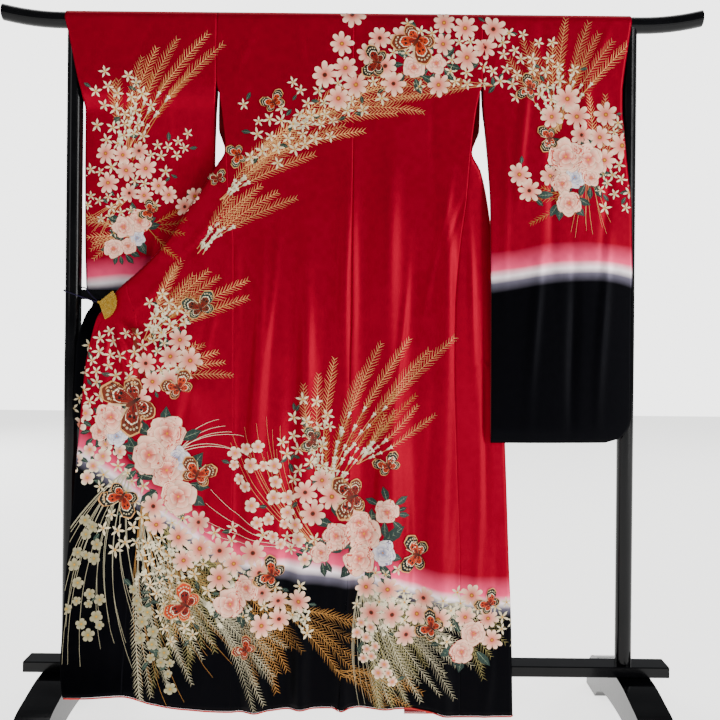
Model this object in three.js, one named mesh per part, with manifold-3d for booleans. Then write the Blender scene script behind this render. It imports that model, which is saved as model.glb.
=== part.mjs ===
// A furisode, the long-sleeved silk kimono, hung over a black lacquered kimono stand.
// Millimetres, +Z up. X runs across the stand, and -Y is the side that shows the garment's back.
// The origin is on the floor, midway between the two posts. Left and right are the wearer's.
// The left front is opened out flat beside the back, and a fan-shaped clip ties it to the left post.
import * as THREE from "three";
import Module from "manifold-3d";
import { mergeVertices } from "three/addons/utils/BufferGeometryUtils.js";

const wasm = await Module();
wasm.setup();

// ---------------------------------------------------------------- driving dimensions
const CLOTH = 1.6; // lined silk, wall thickness
const SEAM = 0.3; // gap left between two pieces that touch

const RAIL_Z = 1656; // centre of the top rail
const RAIL_RADIUS = 19.2;
const RAIL_HALF = 826; // half length of the top rail
const RAIL_STRAIGHT = 680; // where its upturned ends begin
const RAIL_RISE = 18; // how far the tips turn up
const POST_X = 654;
const POST_RADIUS = 19.2;
const MID_RAIL = { z: 1007.5, height: 23, depth: 16 };
const BEAM = { z: 135.5, height: 25, depth: 60, length: 1510, edge: 2 };
const FOOT = { x: 671, width: 78, bevel: 2 };

const EASE = 1; // room between the rail and the cloth round it
const DRAPE = RAIL_RADIUS + EASE + CLOTH / 2; // middle of the cloth where it rounds the rail
const ARMHOLE_Z = 1347; // top of the side seam
const SLEEVE_SEAM_Z = 1510; // lower end of the seam between sleeve and body
const CUFF_Z = 1446; // lower end of the cuff opening
const SLEEVE_BOTTOM = 672;
const SLEEVE_CORNER = 60; // radius of the rounded corner under the cuff
const COLLAR_END_LEFT = 883; // where the collar's lower ends stop
const COLLAR_END_RIGHT = 848;
const FRONT_ROWS = 26; // rows of the fronts, which the okumi and the collar share
const OKUMI_ROWS = 21; // the okumi's point
const COLLAR_ROWS = [13, 24]; // the collar's straight run along each front
const HEM_ROLL = 1.7; // radius of the rolled hem edge
const BAND = 2.4; // the collar is a folded band

// Clip: the fan turns about a hinge at its left end.
const CLIP = { x: -579, z: 989, front: -54, back: -25, blade: 2.4, hinge: 3.2 };
const FAN = { radius: 43, inner: 5, from: 40, to: -70, pleats: 14, scallop: 2.2 };
const JAW = { radius: 24, from: 24, to: -40, pleats: 6, scallop: 0 };

// ---------------------------------------------------------------- section tables
// The back at each height: x of the side edges and of the centre seam, and y of the cloth.
const BACK = [
  { z: 40, left: -266, centre: -18, right: 264, y: -56 },
  { z: 224, left: -267, centre: -7, right: 263, y: -54.5 },
  { z: 413, left: -269, centre: 3, right: 261, y: -51 },
  { z: 678, left: -267, centre: 2, right: 251, y: -45 },
  { z: 858, left: -269, centre: 3, right: 246, y: -41 },
  { z: 974, left: -270, centre: 5, right: 247, y: -38 },
  { z: 1137, left: -272, centre: 5, right: 258, y: -34 },
  { z: 1231, left: -283, centre: 5, right: 270, y: -32 },
  { z: 1347, left: -292, centre: 5, right: 280, y: -29 },
  { z: 1440, left: -303, centre: 5, right: 291, y: -26 },
  { z: 1490, left: -312, centre: 5, right: 301, y: -24.5 },
  { z: 1510, left: -317, centre: 5, right: 307, y: -24 },
  { z: 1656, left: -317, centre: 5, right: 307, y: -DRAPE },
];

// The lower edge of the back and of the opened left front.
const HEM = [
  { x: -624, z: 113 },
  { x: -581, z: 108 },
  { x: -505, z: 103 },
  { x: -439, z: 78 },
  { x: -371, z: 60 },
  { x: -266, z: 48 },
  { x: -139, z: 56 },
  { x: -32, z: 61 },
  { x: -12, z: 55 },
  { x: 8, z: 60 },
  { x: 108, z: 61 },
  { x: 180, z: 55 },
  { x: 264, z: 43 },
  { x: 387, z: 43 },
];

// Soft vertical folds of the back: x of the crest, how far it stands out, its width and its top.
const FOLDS = [
  { x: -250, out: -4, width: 14, top: 1250 },
  { x: -212, out: 7, width: 20, top: 1300 },
  { x: -135, out: -5, width: 18, top: 1150 },
  { x: -104, out: 6, width: 18, top: 1240 },
  { x: -7, out: 6, width: 16, top: 1420 },
  { x: 35, out: -6, width: 24, top: 1350 },
  { x: 93, out: 8, width: 24, top: 1450 },
  { x: 156, out: -6, width: 22, top: 1250 },
  { x: 222, out: 7, width: 20, top: 1400 },
];

// Each front at each height. The cloth leaves the side edge at start, and runs out to fold, where it
// turns back round a radius of roll and goes on behind for the length hidden. edge and free are the y
// of the outer run at the fold and of the far edge. okumi and collar are widths along the section.
const LEFT_FRONT = [
  { z: 107, start: -266, fold: -624, roll: 0, hidden: 0, edge: -150, free: -150, okumi: 121, collar: 0 },
  { z: 162, start: -266, fold: -639, roll: 0, hidden: 0, edge: -122, free: -122, okumi: 134, collar: 0 },
  { z: 209, start: -267, fold: -642, roll: 0, hidden: 0, edge: -108, free: -108, okumi: 138, collar: 0 },
  { z: 310, start: -268, fold: -643, roll: 0, hidden: 0, edge: -85, free: -85, okumi: 141, collar: 0 },
  { z: 577, start: -268, fold: -632, roll: 0, hidden: 0, edge: -52, free: -52, okumi: 154, collar: 0 },
  { z: 677, start: -267, fold: -624, roll: 0, hidden: 0, edge: -48, free: -48, okumi: 156, collar: 0 },
  { z: 765, start: -268, fold: -618, roll: 0, hidden: 0, edge: -47, free: -47, okumi: 151, collar: 0 },
  { z: 848, start: -269, fold: -610, roll: 0, hidden: 0, edge: -46, free: -46, okumi: 135, collar: 0 },
  { z: 897, start: -269, fold: -600, roll: 0, hidden: 0, edge: -46, free: -46, okumi: 112, collar: 5 },
  { z: 957, start: -270, fold: -583, roll: 0, hidden: 0, edge: -46, free: -46, okumi: 74, collar: 14 },
  { z: 974, start: -270, fold: -569, roll: 4, hidden: 12, edge: -46, free: -37, okumi: 64, collar: 22 },
  { z: 1017, start: -271, fold: -541, roll: 8, hidden: 60, edge: -45, free: -27, okumi: 60, collar: 42 },
  { z: 1060, start: -271, fold: -495, roll: 9, hidden: 115, edge: -42, free: -16, okumi: 60, collar: 55 },
  { z: 1096, start: -271, fold: -460, roll: 10, hidden: 150, edge: -40, free: -10, okumi: 56, collar: 60 },
  { z: 1136, start: -272, fold: -426, roll: 10, hidden: 185, edge: -39, free: -6, okumi: 50, collar: 62 },
  { z: 1218, start: -282, fold: -375, roll: 10, hidden: 225, edge: -36, free: 0, okumi: 38, collar: 62 },
  { z: 1267, start: -286, fold: -341, roll: 9, hidden: 240, edge: -34, free: 3, okumi: 26, collar: 60 },
  { z: 1305, start: -289, fold: -319, roll: 6, hidden: 250, edge: -32, free: 5, okumi: 18, collar: 58 },
  { z: 1347, start: -292, fold: -295, roll: 3, hidden: 245, edge: -29, free: 8, okumi: 6, collar: 56 },
  { z: 1405, start: -314, fold: -314, roll: 0, hidden: 272, edge: 0, free: 12, okumi: 0, collar: 55 },
  { z: 1510, start: -317, fold: -317, roll: 0, hidden: 280, edge: 20, free: 19, okumi: 0, collar: 55 },
  { z: 1656, start: -317, fold: -317, roll: 0, hidden: 282, edge: DRAPE, free: DRAPE, okumi: 0, collar: 55 },
];
const RIGHT_FRONT = [
  { z: 42, start: 264, fold: 387, roll: 8, hidden: 243, edge: -53, free: -38, okumi: 150, collar: 0 },
  { z: 250, start: 263, fold: 382, roll: 8, hidden: 246, edge: -51, free: -36, okumi: 150, collar: 0 },
  { z: 400, start: 261, fold: 376, roll: 8, hidden: 250, edge: -45, free: -30, okumi: 150, collar: 0 },
  { z: 654, start: 252, fold: 367, roll: 8, hidden: 255, edge: -34, free: -22, okumi: 150, collar: 0 },
  { z: 856, start: 246, fold: 357, roll: 8, hidden: 315, edge: -29, free: -16, okumi: 147, collar: 55 },
  { z: 1003, start: 249, fold: 349, roll: 8, hidden: 294, edge: -28, free: -13, okumi: 110, collar: 55 },
  { z: 1060, start: 253, fold: 343, roll: 8, hidden: 290, edge: -27, free: -10, okumi: 92, collar: 55 },
  { z: 1212, start: 268, fold: 324, roll: 8, hidden: 281, edge: -26, free: -3, okumi: 48, collar: 55 },
  { z: 1305, start: 277, fold: 304, roll: 5, hidden: 270, edge: -27, free: 4, okumi: 20, collar: 55 },
  { z: 1347, start: 280, fold: 283, roll: 3, hidden: 252, edge: -29, free: 8, okumi: 6, collar: 55 },
  { z: 1405, start: 303, fold: 303, roll: 0, hidden: 268, edge: 0, free: 12, okumi: 0, collar: 55 },
  { z: 1510, start: 307, fold: 307, roll: 0, hidden: 270, edge: 20, free: 19, okumi: 0, collar: 55 },
  { z: 1656, start: 307, fold: 307, roll: 0, hidden: 272, edge: DRAPE, free: DRAPE, okumi: 0, collar: 55 },
];

// Each sleeve at each height: x of the inner edge and of the outer edges of the near and far layers,
// then y of each layer at its inner and outer edge. The left one hangs behind the middle rail.
const LEFT_SLEEVE = [
  { z: 672, inner: -322, near: -646, far: -646, nearIn: 7, nearOut: -27, farIn: 18, farOut: -25 },
  { z: 891, inner: -323, near: -638, far: -638, nearIn: 9, nearOut: -26, farIn: 20, farOut: -24 },
  { z: 910, inner: -323, near: -634, far: -634, nearIn: 9, nearOut: -24.5, farIn: 21, farOut: -22.5 },
  { z: 945, inner: -323, near: -626, far: -626, nearIn: 10, nearOut: -16, farIn: 22, farOut: -14 },
  { z: 966, inner: -323, near: -619, far: -619, nearIn: 10.5, nearOut: -7, farIn: 22, farOut: -5 },
  { z: 985, inner: -323, near: -609, far: -609, nearIn: 11, nearOut: 6, farIn: 22, farOut: 8 },
  { z: 994, inner: -323, near: -616, far: -616, nearIn: 11, nearOut: 11, farIn: 23, farOut: 13 },
  { z: 1030, inner: -323, near: -628, far: -628, nearIn: 11, nearOut: 14, farIn: 23, farOut: 16 },
  { z: 1136, inner: -324, near: -630, far: -630, nearIn: 9, nearOut: 9, farIn: 22, farOut: 11 },
  { z: 1308, inner: -324, near: -630, far: -630, nearIn: 4, nearOut: 3, farIn: 20, farOut: 5 },
  { z: 1446, inner: -321, near: -629, far: -629, nearIn: -13, nearOut: -2, farIn: 19, farOut: 2 },
  { z: 1480, inner: -319, near: -633, far: -633, nearIn: -21, nearOut: -20, farIn: 20, farOut: 20 },
  { z: 1510, inner: -317.7, near: -641, far: -641, nearIn: -24, nearOut: -22.5, farIn: 20, farOut: 22.5 },
  { z: 1603, inner: -317.7, near: -661, far: -661, nearIn: -22, nearOut: -22, farIn: 20.3, farOut: 22 },
  { z: 1656, inner: -317.7, near: -674, far: -674, nearIn: -DRAPE, nearOut: -DRAPE, farIn: DRAPE, farOut: DRAPE },
];
const RIGHT_SLEEVE = [
  { z: 672, inner: 330, near: 660, far: 660, nearIn: -52, nearOut: -27, farIn: -41, farOut: -25 },
  { z: 1003, inner: 328, near: 660, far: 660, nearIn: -49, nearOut: -27, farIn: -38, farOut: -25 },
  { z: 1224, inner: 325, near: 657, far: 657, nearIn: -44, nearOut: -26, farIn: -33, farOut: -24 },
  { z: 1305, inner: 321, near: 648, far: 648, nearIn: -37, nearOut: -25.5, farIn: -22, farOut: -23.5 },
  { z: 1416, inner: 312, near: 637, far: 637, nearIn: -28, nearOut: -24.5, farIn: -6, farOut: -22.5 },
  { z: 1446, inner: 309, near: 634, far: 629, nearIn: -26, nearOut: -23.5, farIn: 2, farOut: -12 },
  { z: 1500, inner: 307.5, near: 634, far: 627, nearIn: -24, nearOut: -22.5, farIn: 18, farOut: 10 },
  { z: 1510, inner: 307.7, near: 635, far: 627, nearIn: -24, nearOut: -22.5, farIn: 20, farOut: 14 },
  { z: 1560, inner: 307.7, near: 641, far: 630, nearIn: -23, nearOut: -22.5, farIn: 20.2, farOut: 22 },
  { z: 1615, inner: 307.7, near: 649, far: 645, nearIn: -22, nearOut: -22, farIn: 20.3, farOut: 22 },
  { z: 1656, inner: 307.7, near: 655, far: 655, nearIn: -DRAPE, nearOut: -DRAPE, farIn: DRAPE, farOut: DRAPE },
];

// Creases that fan out from the clip over the opened front: angle from straight down, in degrees.
const PULLS = [
  { angle: -2, width: 5, out: 5 },
  { angle: 12, width: 5, out: -4 },
  { angle: 24, width: 6, out: 7 },
  { angle: 42, width: 8, out: -5 },
  { angle: 62, width: 9, out: 6 },
];
const PULL_REACH = 230; // distance from the clip over which a crease fades

// Cord that ties the clip to the post, from the hinge round the front of the post and back.
const CORD_RADIUS = 1.3;
const CORD_ROUTE = [
  [-584.4, -44, 989],
  [-600, -36.5, 993],
  [-616, -31, 998],
  [-632, -26.5, 1003],
  [-645, -22.6, 1007],
  [-656, -21.8, 1011],
  [-667, -17.6, 1014],
  [-674.6, -7.6, 1016],
  [-675.6, 3, 1018],
  [-671, 13.7, 1020],
  [-661, 20.8, 1022],
  [-649, 21.4, 1023.5],
  [-638, 15, 1024.5],
  [-630, 4, 1024],
  [-622, -8, 1021.5],
  [-612, -20, 1012],
  [-600, -31, 1002],
  [-584.6, -36, 990],
];

// The collar round the neck: its seam and its free edge, from the side of the neck to the middle.
const PARTING = 1650.4; // height at which the back and the fronts part
const PARTING_SHARE = 0.9962; // the same, as a share of a front's height
const NECK = [
  { at: 0, seamX: 89.5, seamZ: 1524, edgeX: 37, edgeZ: 1524 },
  { at: 0.3, seamX: 89.5, seamZ: 1590, edgeX: 35, edgeZ: 1570 },
  { at: 0.55, seamX: 89, seamZ: 1649, edgeX: 30, edgeZ: 1591 },
  { at: 0.8, seamX: 42, seamZ: 1649, edgeX: 15, edgeZ: 1594 },
  { at: 1, seamX: 0, seamZ: 1649, edgeX: 0, edgeZ: 1595 },
];

// Side profile of a foot: its top from the beam to the toe, then its underside back to the middle.
const FOOT_TOP = [
  { y: 31, z: 122.7 },
  { y: 80, z: 119 },
  { y: 133, z: 109 },
  { y: 203, z: 93 },
  { y: 240, z: 62 },
  { y: 257, z: 14 },
];
const FOOT_ARCH = [
  { y: 260, z: 0 },
  { y: 172, z: 0 },
  { y: 140, z: 26 },
  { y: 95, z: 41 },
  { y: 0, z: 46 },
];

// ---------------------------------------------------------------- tables and curves
const mix = (a, b, t) => a + (b - a) * t;
const ease = (t) => t * t * (3 - 2 * t);
const PROBE = 0.002; // step in u and v over which a surface's slope is taken
const clamp01 = (t) => Math.min(1, Math.max(0, t));
const range = (count) => Array.from({ length: count + 1 }, (_, i) => i / count);

// One column of a table at a given key, smooth between rows and never past them.
function column(rows, name, at, key = "z") {
  const last = rows.length - 1;
  const slope = (i) => (rows[i + 1][name] - rows[i][name]) / (rows[i + 1][key] - rows[i][key]);
  const tangent = (i) => {
    if (i === 0) return slope(0);
    if (i === last) return slope(last - 1);
    const before = slope(i - 1);
    const after = slope(i);
    return before * after <= 0 ? 0 : (2 * before * after) / (before + after);
  };
  let i = 0;
  while (i < last - 1 && at > rows[i + 1][key]) i += 1;
  const step = rows[i + 1][key] - rows[i][key];
  const t = clamp01((at - rows[i][key]) / step);
  const t2 = t * t;
  const t3 = t2 * t;
  return (
    (2 * t3 - 3 * t2 + 1) * rows[i][name] +
    (t3 - 2 * t2 + t) * step * tangent(i) +
    (3 * t2 - 2 * t3) * rows[i + 1][name] +
    (t3 - t2) * step * tangent(i + 1)
  );
}

// ---------------------------------------------------------------- solids
// A closed mesh from corners and faces, turned so that its faces point out.
function closedMesh(points, faces) {
  let volume = 0;
  const a = new THREE.Vector3();
  const b = new THREE.Vector3();
  for (const [i, j, k] of faces) {
    a.copy(points[j]);
    b.copy(points[k]);
    volume += points[i].dot(a.cross(b));
  }
  const index = faces.flatMap(([i, j, k]) => (volume < 0 ? [i, k, j] : [i, j, k]));
  const geometry = new THREE.BufferGeometry();
  geometry.setAttribute("position", new THREE.Float32BufferAttribute(points.flatMap((p) => p.toArray()), 3));
  geometry.setIndex(index);
  return geometry;
}

// A cloth wall: place(u, v) gives its middle surface over the listed values of u and v.
function sheet(across, along, place, thickness = CLOTH) {
  const columns = across.length;
  const rows = along.length;
  const spot = (u, v) => new THREE.Vector3(...place(u, v));
  const offset = (u, v, side) => {
    const overU = spot(u + PROBE, v).sub(spot(u - PROBE, v));
    const overV = spot(u, v + PROBE).sub(spot(u, v - PROBE));
    const normal = overU.cross(overV).normalize();
    return spot(u, v).addScaledVector(normal, (side * thickness) / 2);
  };
  const points = [];
  for (const side of [1, -1]) {
    for (const v of along) {
      for (const u of across) points.push(offset(u, v, side));
    }
  }
  const size = columns * rows;
  const at = (i, j) => j * columns + i;
  const faces = [];
  for (let j = 0; j < rows - 1; j += 1) {
    for (let i = 0; i < columns - 1; i += 1) {
      const [a, b, c, d] = [at(i, j), at(i + 1, j), at(i + 1, j + 1), at(i, j + 1)];
      faces.push([a, b, c], [a, c, d]);
      faces.push([size + a, size + c, size + b], [size + a, size + d, size + c]);
    }
  }
  const rim = [];
  for (let i = 0; i < columns - 1; i += 1) rim.push(at(i, 0));
  for (let j = 0; j < rows - 1; j += 1) rim.push(at(columns - 1, j));
  for (let i = columns - 1; i > 0; i -= 1) rim.push(at(i, rows - 1));
  for (let j = rows - 1; j > 0; j -= 1) rim.push(at(0, j));
  rim.forEach((a, i) => {
    const b = rim[(i + 1) % rim.length];
    faces.push([b, a, size + a], [b, size + a, size + b]);
  });
  return closedMesh(points, faces);
}

// A closed body through rings of equal count, capped at both ends.
function loft(rings) {
  const count = rings[0].length;
  const points = rings.flat();
  const faces = [];
  for (let j = 0; j < rings.length - 1; j += 1) {
    for (let i = 0; i < count; i += 1) {
      const next = (i + 1) % count;
      const [a, b] = [j * count + i, j * count + next];
      faces.push([a, b, b + count], [a, b + count, a + count]);
    }
  }
  const end = (rings.length - 1) * count;
  for (let i = 1; i < count - 1; i += 1) {
    faces.push([0, i + 1, i], [end, end + i, end + i + 1]);
  }
  return closedMesh(points, faces);
}

function toManifold(geometry) {
  const bare = geometry.clone();
  bare.deleteAttribute("normal");
  bare.deleteAttribute("uv");
  const merged = mergeVertices(bare);
  const vertProperties = new Float32Array(merged.attributes.position.array);
  const triVerts = new Uint32Array(merged.index.array);
  return new wasm.Manifold(new wasm.Mesh({ numProp: 3, vertProperties, triVerts }));
}

function fromManifold(solid) {
  const { vertProperties, triVerts } = solid.getMesh();
  const geometry = new THREE.BufferGeometry();
  geometry.setAttribute("position", new THREE.BufferAttribute(vertProperties, 3));
  geometry.setIndex(new THREE.BufferAttribute(triVerts, 1));
  return geometry;
}

// ---------------------------------------------------------------- cloth surfaces
// Soft folds of the back and creases of the opened front, as a move toward the viewer.
function foldAt(x, z) {
  let out = 0;
  for (const fold of FOLDS) {
    const fade = ease(clamp01((fold.top - z) / 420));
    out += fold.out * fade * Math.exp(-(((x - fold.x) / fold.width) ** 2));
  }
  return out;
}

function pullAt(x, z) {
  const [dx, dz] = [x - (CLIP.x + 18), CLIP.z - 20 - z];
  const distance = Math.hypot(dx, dz);
  const angle = THREE.MathUtils.radToDeg(Math.atan2(dx, dz));
  let out = 0;
  for (const pull of PULLS) {
    out += pull.out * Math.exp(-(((angle - pull.angle) / pull.width) ** 2));
  }
  return out * ease(clamp01((distance - 25) / 70)) * Math.exp(-distance / PULL_REACH);
}

// The back: u from the centre seam to the side, v from the hem (0) to the rail (1), over it (2) and
// down its far side, where v counts in shares of the rail's height.
function backPoint(side, u, v) {
  const height = Math.min(v, 1);
  const name = side < 0 ? "left" : "right";
  const hemX = mix(column(BACK, "centre", 40), column(BACK, name, 40), u);
  const hem = column(HEM, "z", hemX, "x");
  const z = mix(hem, RAIL_Z, height);
  const centre = column(BACK, "centre", z) + (side * SEAM) / 2;
  const x = mix(centre, column(BACK, name, z), u);
  if (v <= 1) return [x, column(BACK, "y", z) - foldAt(x, z), z];
  if (v > 2) return [x, DRAPE, RAIL_Z - (v - 2) * RAIL_Z];
  const angle = (v - 1) * Math.PI;
  return [x, -DRAPE * Math.cos(angle), RAIL_Z + DRAPE * Math.sin(angle)];
}

// Length of a front's section at a height: outer run, roll and hidden run.
function frontLengths(rows, side, z) {
  const sewn = z <= ARMHOLE_Z;
  const start = sewn ? column(BACK, side < 0 ? "left" : "right", z) : column(rows, "start", z);
  const roll = Math.max(0, column(rows, "roll", z));
  const turn = column(rows, "fold", z) - side * roll;
  const outer = Math.max(0, side * (turn - start));
  const hidden = column(rows, "hidden", z);
  return { start, roll, turn, outer, hidden, whole: outer + Math.PI * roll + hidden };
}

// The front at a distance along its section from the side edge, and at a height.
function frontPoint(rows, side, along, z) {
  const distance = Math.max(0, along);
  const { start, roll, turn, outer } = frontLengths(rows, side, z);
  const edge = column(rows, "edge", z);
  const free = column(rows, "free", z);
  const hidden = Math.max(1, column(rows, "hidden", z));
  const name = side < 0 ? "left" : "right";
  const seamZ = Math.min(z, ARMHOLE_Z);
  const seamX = column(BACK, name, seamZ);
  const seamY = column(BACK, "y", seamZ) - foldAt(seamX, seamZ);
  const opening = ease(clamp01((z - ARMHOLE_Z) / 58));
  const first = mix(seamY, edge, opening);
  if (distance < outer) {
    const share = distance / outer;
    const x = start + side * (distance + SEAM);
    const settle = side < 0 ? pullAt(x, z) * ease(clamp01(share * 4)) * (1 - share ** 6) : 0;
    return [x, mix(first, edge, share ** 1.4) - settle, z];
  }
  const leave = outer > 0 ? edge : first;
  const past = distance - outer;
  const arc = Math.PI * roll;
  if (past < arc) {
    const angle = past / roll;
    return [turn + side * (roll * Math.sin(angle) + SEAM), leave + roll - roll * Math.cos(angle), z];
  }
  const share = (past - arc) / hidden;
  return [turn - side * (past - arc - SEAM), mix(leave + 2 * roll, free, share ** 0.8), z];
}

// Height of the hem at a distance along a front's section.
function frontHem(rows, side, distance) {
  if (side > 0) return column(HEM, "z", 387, "x");
  return column(HEM, "z", rows[0].start + side * distance, "x");
}

// Shares of a front's width that keep to its fold: before it, on it and past it. Each row gives the
// value of u, then the least and the greatest share of the width that it may take.
const CREASE = [
  { u: 6 / 12, least: 0.1, most: 0.86 },
  { u: 7 / 12, least: 0.14, most: 0.92 },
  { u: 8 / 12, least: 0.18, most: 0.96 },
];

// Distance along a front's section at u, between two widths, with the fold kept on the same u.
function creased(rows, side, from, to, u, z) {
  const { roll, outer } = frontLengths(rows, side, z);
  const quarter = (Math.PI * roll) / 2;
  const knots = [{ u: 0, at: from }];
  CREASE.forEach(({ u: knot, least, most }, i) => {
    const share = (outer + i * quarter - from) / (to - from);
    knots.push({ u: knot, at: mix(from, to, Math.min(most, Math.max(least, share))) });
  });
  knots.push({ u: 1, at: to });
  const i = Math.min(3, knots.filter((knot) => knot.u <= u).length - 1);
  const [a, b] = [knots[Math.max(0, i)], knots[Math.max(0, i) + 1]];
  return mix(a.at, b.at, (u - a.u) / (b.u - a.u));
}

// A part of a front between two widths of its section; v runs from the hem (0) to the top (1).
function frontStrip(rows, side, from, to, top) {
  return (u, v) => {
    const low = frontHem(rows, side, creased(rows, side, from(rows[0].z), to(rows[0].z), u, rows[0].z));
    const z = mix(low, top, v);
    return frontPoint(rows, side, creased(rows, side, from(z), to(z), u, z), z);
  };
}

// Widths along a front's section where the main panel, the okumi and the collar end.
function frontSplit(rows, side, collarEnd) {
  const whole = (z) => frontLengths(rows, side, z).whole;
  const collar = (z) => column(rows, "collar", z);
  const okumi = (z) => column(rows, "okumi", z);
  const bare = (z) => (z < collarEnd ? 0 : collar(z));
  return {
    panelEnd: (z) => whole(z) - bare(z) - okumi(z),
    okumiEnd: (z) => whole(z) - bare(z),
    collarEnd: (z) => whole(z),
  };
}

// A sleeve: u from the inner edge to the outer, v up the near layer (0 to 1), over the rail (to 2)
// and down the far layer (to 3). Below the cuff the two layers close at the outer edge.
function sleevePoint(rows, side, u, v) {
  const far = v > 1.5;
  const rise = far ? 3 - v : v;
  const z = mix(SLEEVE_BOTTOM, RAIL_Z, clamp01(rise));
  const inner = column(rows, "inner", z);
  const outerEdge = column(rows, far ? "far" : "near", z);
  const drop = Math.max(0, SLEEVE_BOTTOM + SLEEVE_CORNER - z);
  const corner = SLEEVE_CORNER - Math.sqrt(Math.max(0, SLEEVE_CORNER ** 2 - drop ** 2));
  const x = mix(inner, outerEdge - side * corner, u);
  if (v >= 1 && v <= 2) {
    const angle = (v - 1) * Math.PI;
    return [x, -DRAPE * Math.cos(angle), RAIL_Z + DRAPE * Math.sin(angle)];
  }
  const layer = (name) => mix(column(rows, `${name}In`, z), column(rows, `${name}Out`, z), u * u);
  const [near, distant] = [layer("near"), layer("far")];
  const middle = (near + distant) / 2;
  const closing = ease(clamp01((SLEEVE_BOTTOM + 30 - z) / 30));
  const half = mix((distant - near) / 2, (CLOTH + SEAM) / 2, closing);
  return [x, middle + (far ? half : -half), z];
}

// Levels of v up one layer of a sleeve, so that its rows fall on the rows of its table.
function sleeveLevels(rows) {
  const levels = [];
  rows.slice(0, -1).forEach((row, i) => {
    const gap = rows[i + 1].z - row.z;
    const parts = Math.max(1, Math.round(gap / 110));
    for (let k = 0; k < parts; k += 1) {
      levels.push((row.z + (gap * k) / parts - SLEEVE_BOTTOM) / (RAIL_Z - SLEEVE_BOTTOM));
    }
  });
  const corner = [0.35, 0.7].map((t) => (t * SLEEVE_CORNER) / (RAIL_Z - SLEEVE_BOTTOM));
  return [...levels, ...corner, 1].sort((a, b) => a - b);
}

// ---------------------------------------------------------------- garment pieces
const group = new THREE.Group();

function add(name, geometry, { color, roughness, metalness = 0 }) {
  const mesh = new THREE.Mesh(geometry, new THREE.MeshStandardMaterial({ color, roughness, metalness }));
  mesh.name = name;
  group.add(mesh);
}

const SILK = { color: 0xa60d24, roughness: 0.45 };
const HEM_SILK = { color: 0xc0392b, roughness: 0.5 };
const LACQUER = { color: 0x0b0c0f, roughness: 0.12 };
const GOLD = { color: 0xd9b23c, roughness: 0.25, metalness: 1 };
const CORD = { color: 0x1d1638, roughness: 0.8 };

// Each half of the body is cut as one strip: up the back, over the rail and down the front. Here it is
// parted along the neck line on the rail's far side, so that the back and the front are a solid each.
const frontLevels = range(FRONT_ROWS);
const frontColumns = range(12);
const okumiColumns = [0, 3 / 12, 6 / 12, 7 / 12, 8 / 12, 1];
const overRail = range(6).slice(1).map((t) => 1 + t);
const backLevels = [...frontLevels, ...overRail, 2 + (RAIL_Z - PARTING - SEAM) / RAIL_Z];
const bodyLevels = [...frontLevels.slice(0, -1), PARTING_SHARE];
for (const [name, rows, side, collarEnd] of [
  ["left", LEFT_FRONT, -1, COLLAR_END_LEFT],
  ["right", RIGHT_FRONT, 1, COLLAR_END_RIGHT],
]) {
  const split = frontSplit(rows, side, collarEnd);
  const front = frontStrip(rows, side, () => 0, split.panelEnd, RAIL_Z);
  add(`back_${name}`, sheet(range(8), backLevels, (u, v) => backPoint(side, u, v)), SILK);
  add(`front_${name}`, sheet(frontColumns, bodyLevels, front), SILK);
  const okumiFrom = (z) => split.panelEnd(z) + SEAM;
  const okumi = frontStrip(rows, side, okumiFrom, (z) => split.okumiEnd(z) - SEAM, RAIL_Z);
  add(`okumi_${name}`, sheet(okumiColumns, frontLevels.slice(0, OKUMI_ROWS + 1), okumi), SILK);
}

for (const [name, rows, side] of [
  ["left", LEFT_SLEEVE, -1],
  ["right", RIGHT_SLEEVE, 1],
]) {
  const up = sleeveLevels(rows);
  const down = [...up].reverse().slice(1).map((v) => 3 - v);
  const place = (u, v) => sleevePoint(rows, side, u, v);
  add(`sleeve_${name}`, sheet(range(7), [...up, ...overRail, ...down], place), SILK);
}

// The collar: one band up the left front's edge, round the neck on the far side and down the right.
// u runs from its seam (0) to its free edge (1); v from the left end (0) over the neck (1) to the right (2).
function collarPoint(u, v) {
  const side = v <= 1 ? -1 : 1;
  const rows = side < 0 ? LEFT_FRONT : RIGHT_FRONT;
  const split = frontSplit(rows, side, side < 0 ? COLLAR_END_LEFT : COLLAR_END_RIGHT);
  const rise = v <= 1 ? v : 2 - v;
  const neckFrom = frontLevels[COLLAR_ROWS[1]];
  if (rise <= neckFrom) {
    const z = mix(frontHem(rows, side, split.collarEnd(rows[0].z)), RAIL_Z, rise);
    return frontPoint(rows, side, mix(split.okumiEnd(z) + SEAM, split.collarEnd(z), u), z);
  }
  const t = (rise - neckFrom) / (1 - neckFrom);
  const seam = [side * column(NECK, "seamX", t, "at"), column(NECK, "seamZ", t, "at")];
  const edge = [side * column(NECK, "edgeX", t, "at"), column(NECK, "edgeZ", t, "at")];
  return [mix(seam[0], edge[0], u), DRAPE + 0.6, mix(seam[1], edge[1], u)];
}
const straight = frontLevels.slice(COLLAR_ROWS[0], COLLAR_ROWS[1] + 1);
const round = [0.3, 0.55, 0.68, 0.8, 1].map((t) => mix(frontLevels[COLLAR_ROWS[1]], 1, t));
const branch = [...straight, ...round];
const collarLevels = [...branch, ...branch.slice(0, -1).reverse().map((v) => 2 - v)];
add("collar", sheet(range(3), collarLevels, collarPoint, BAND), SILK);

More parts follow.
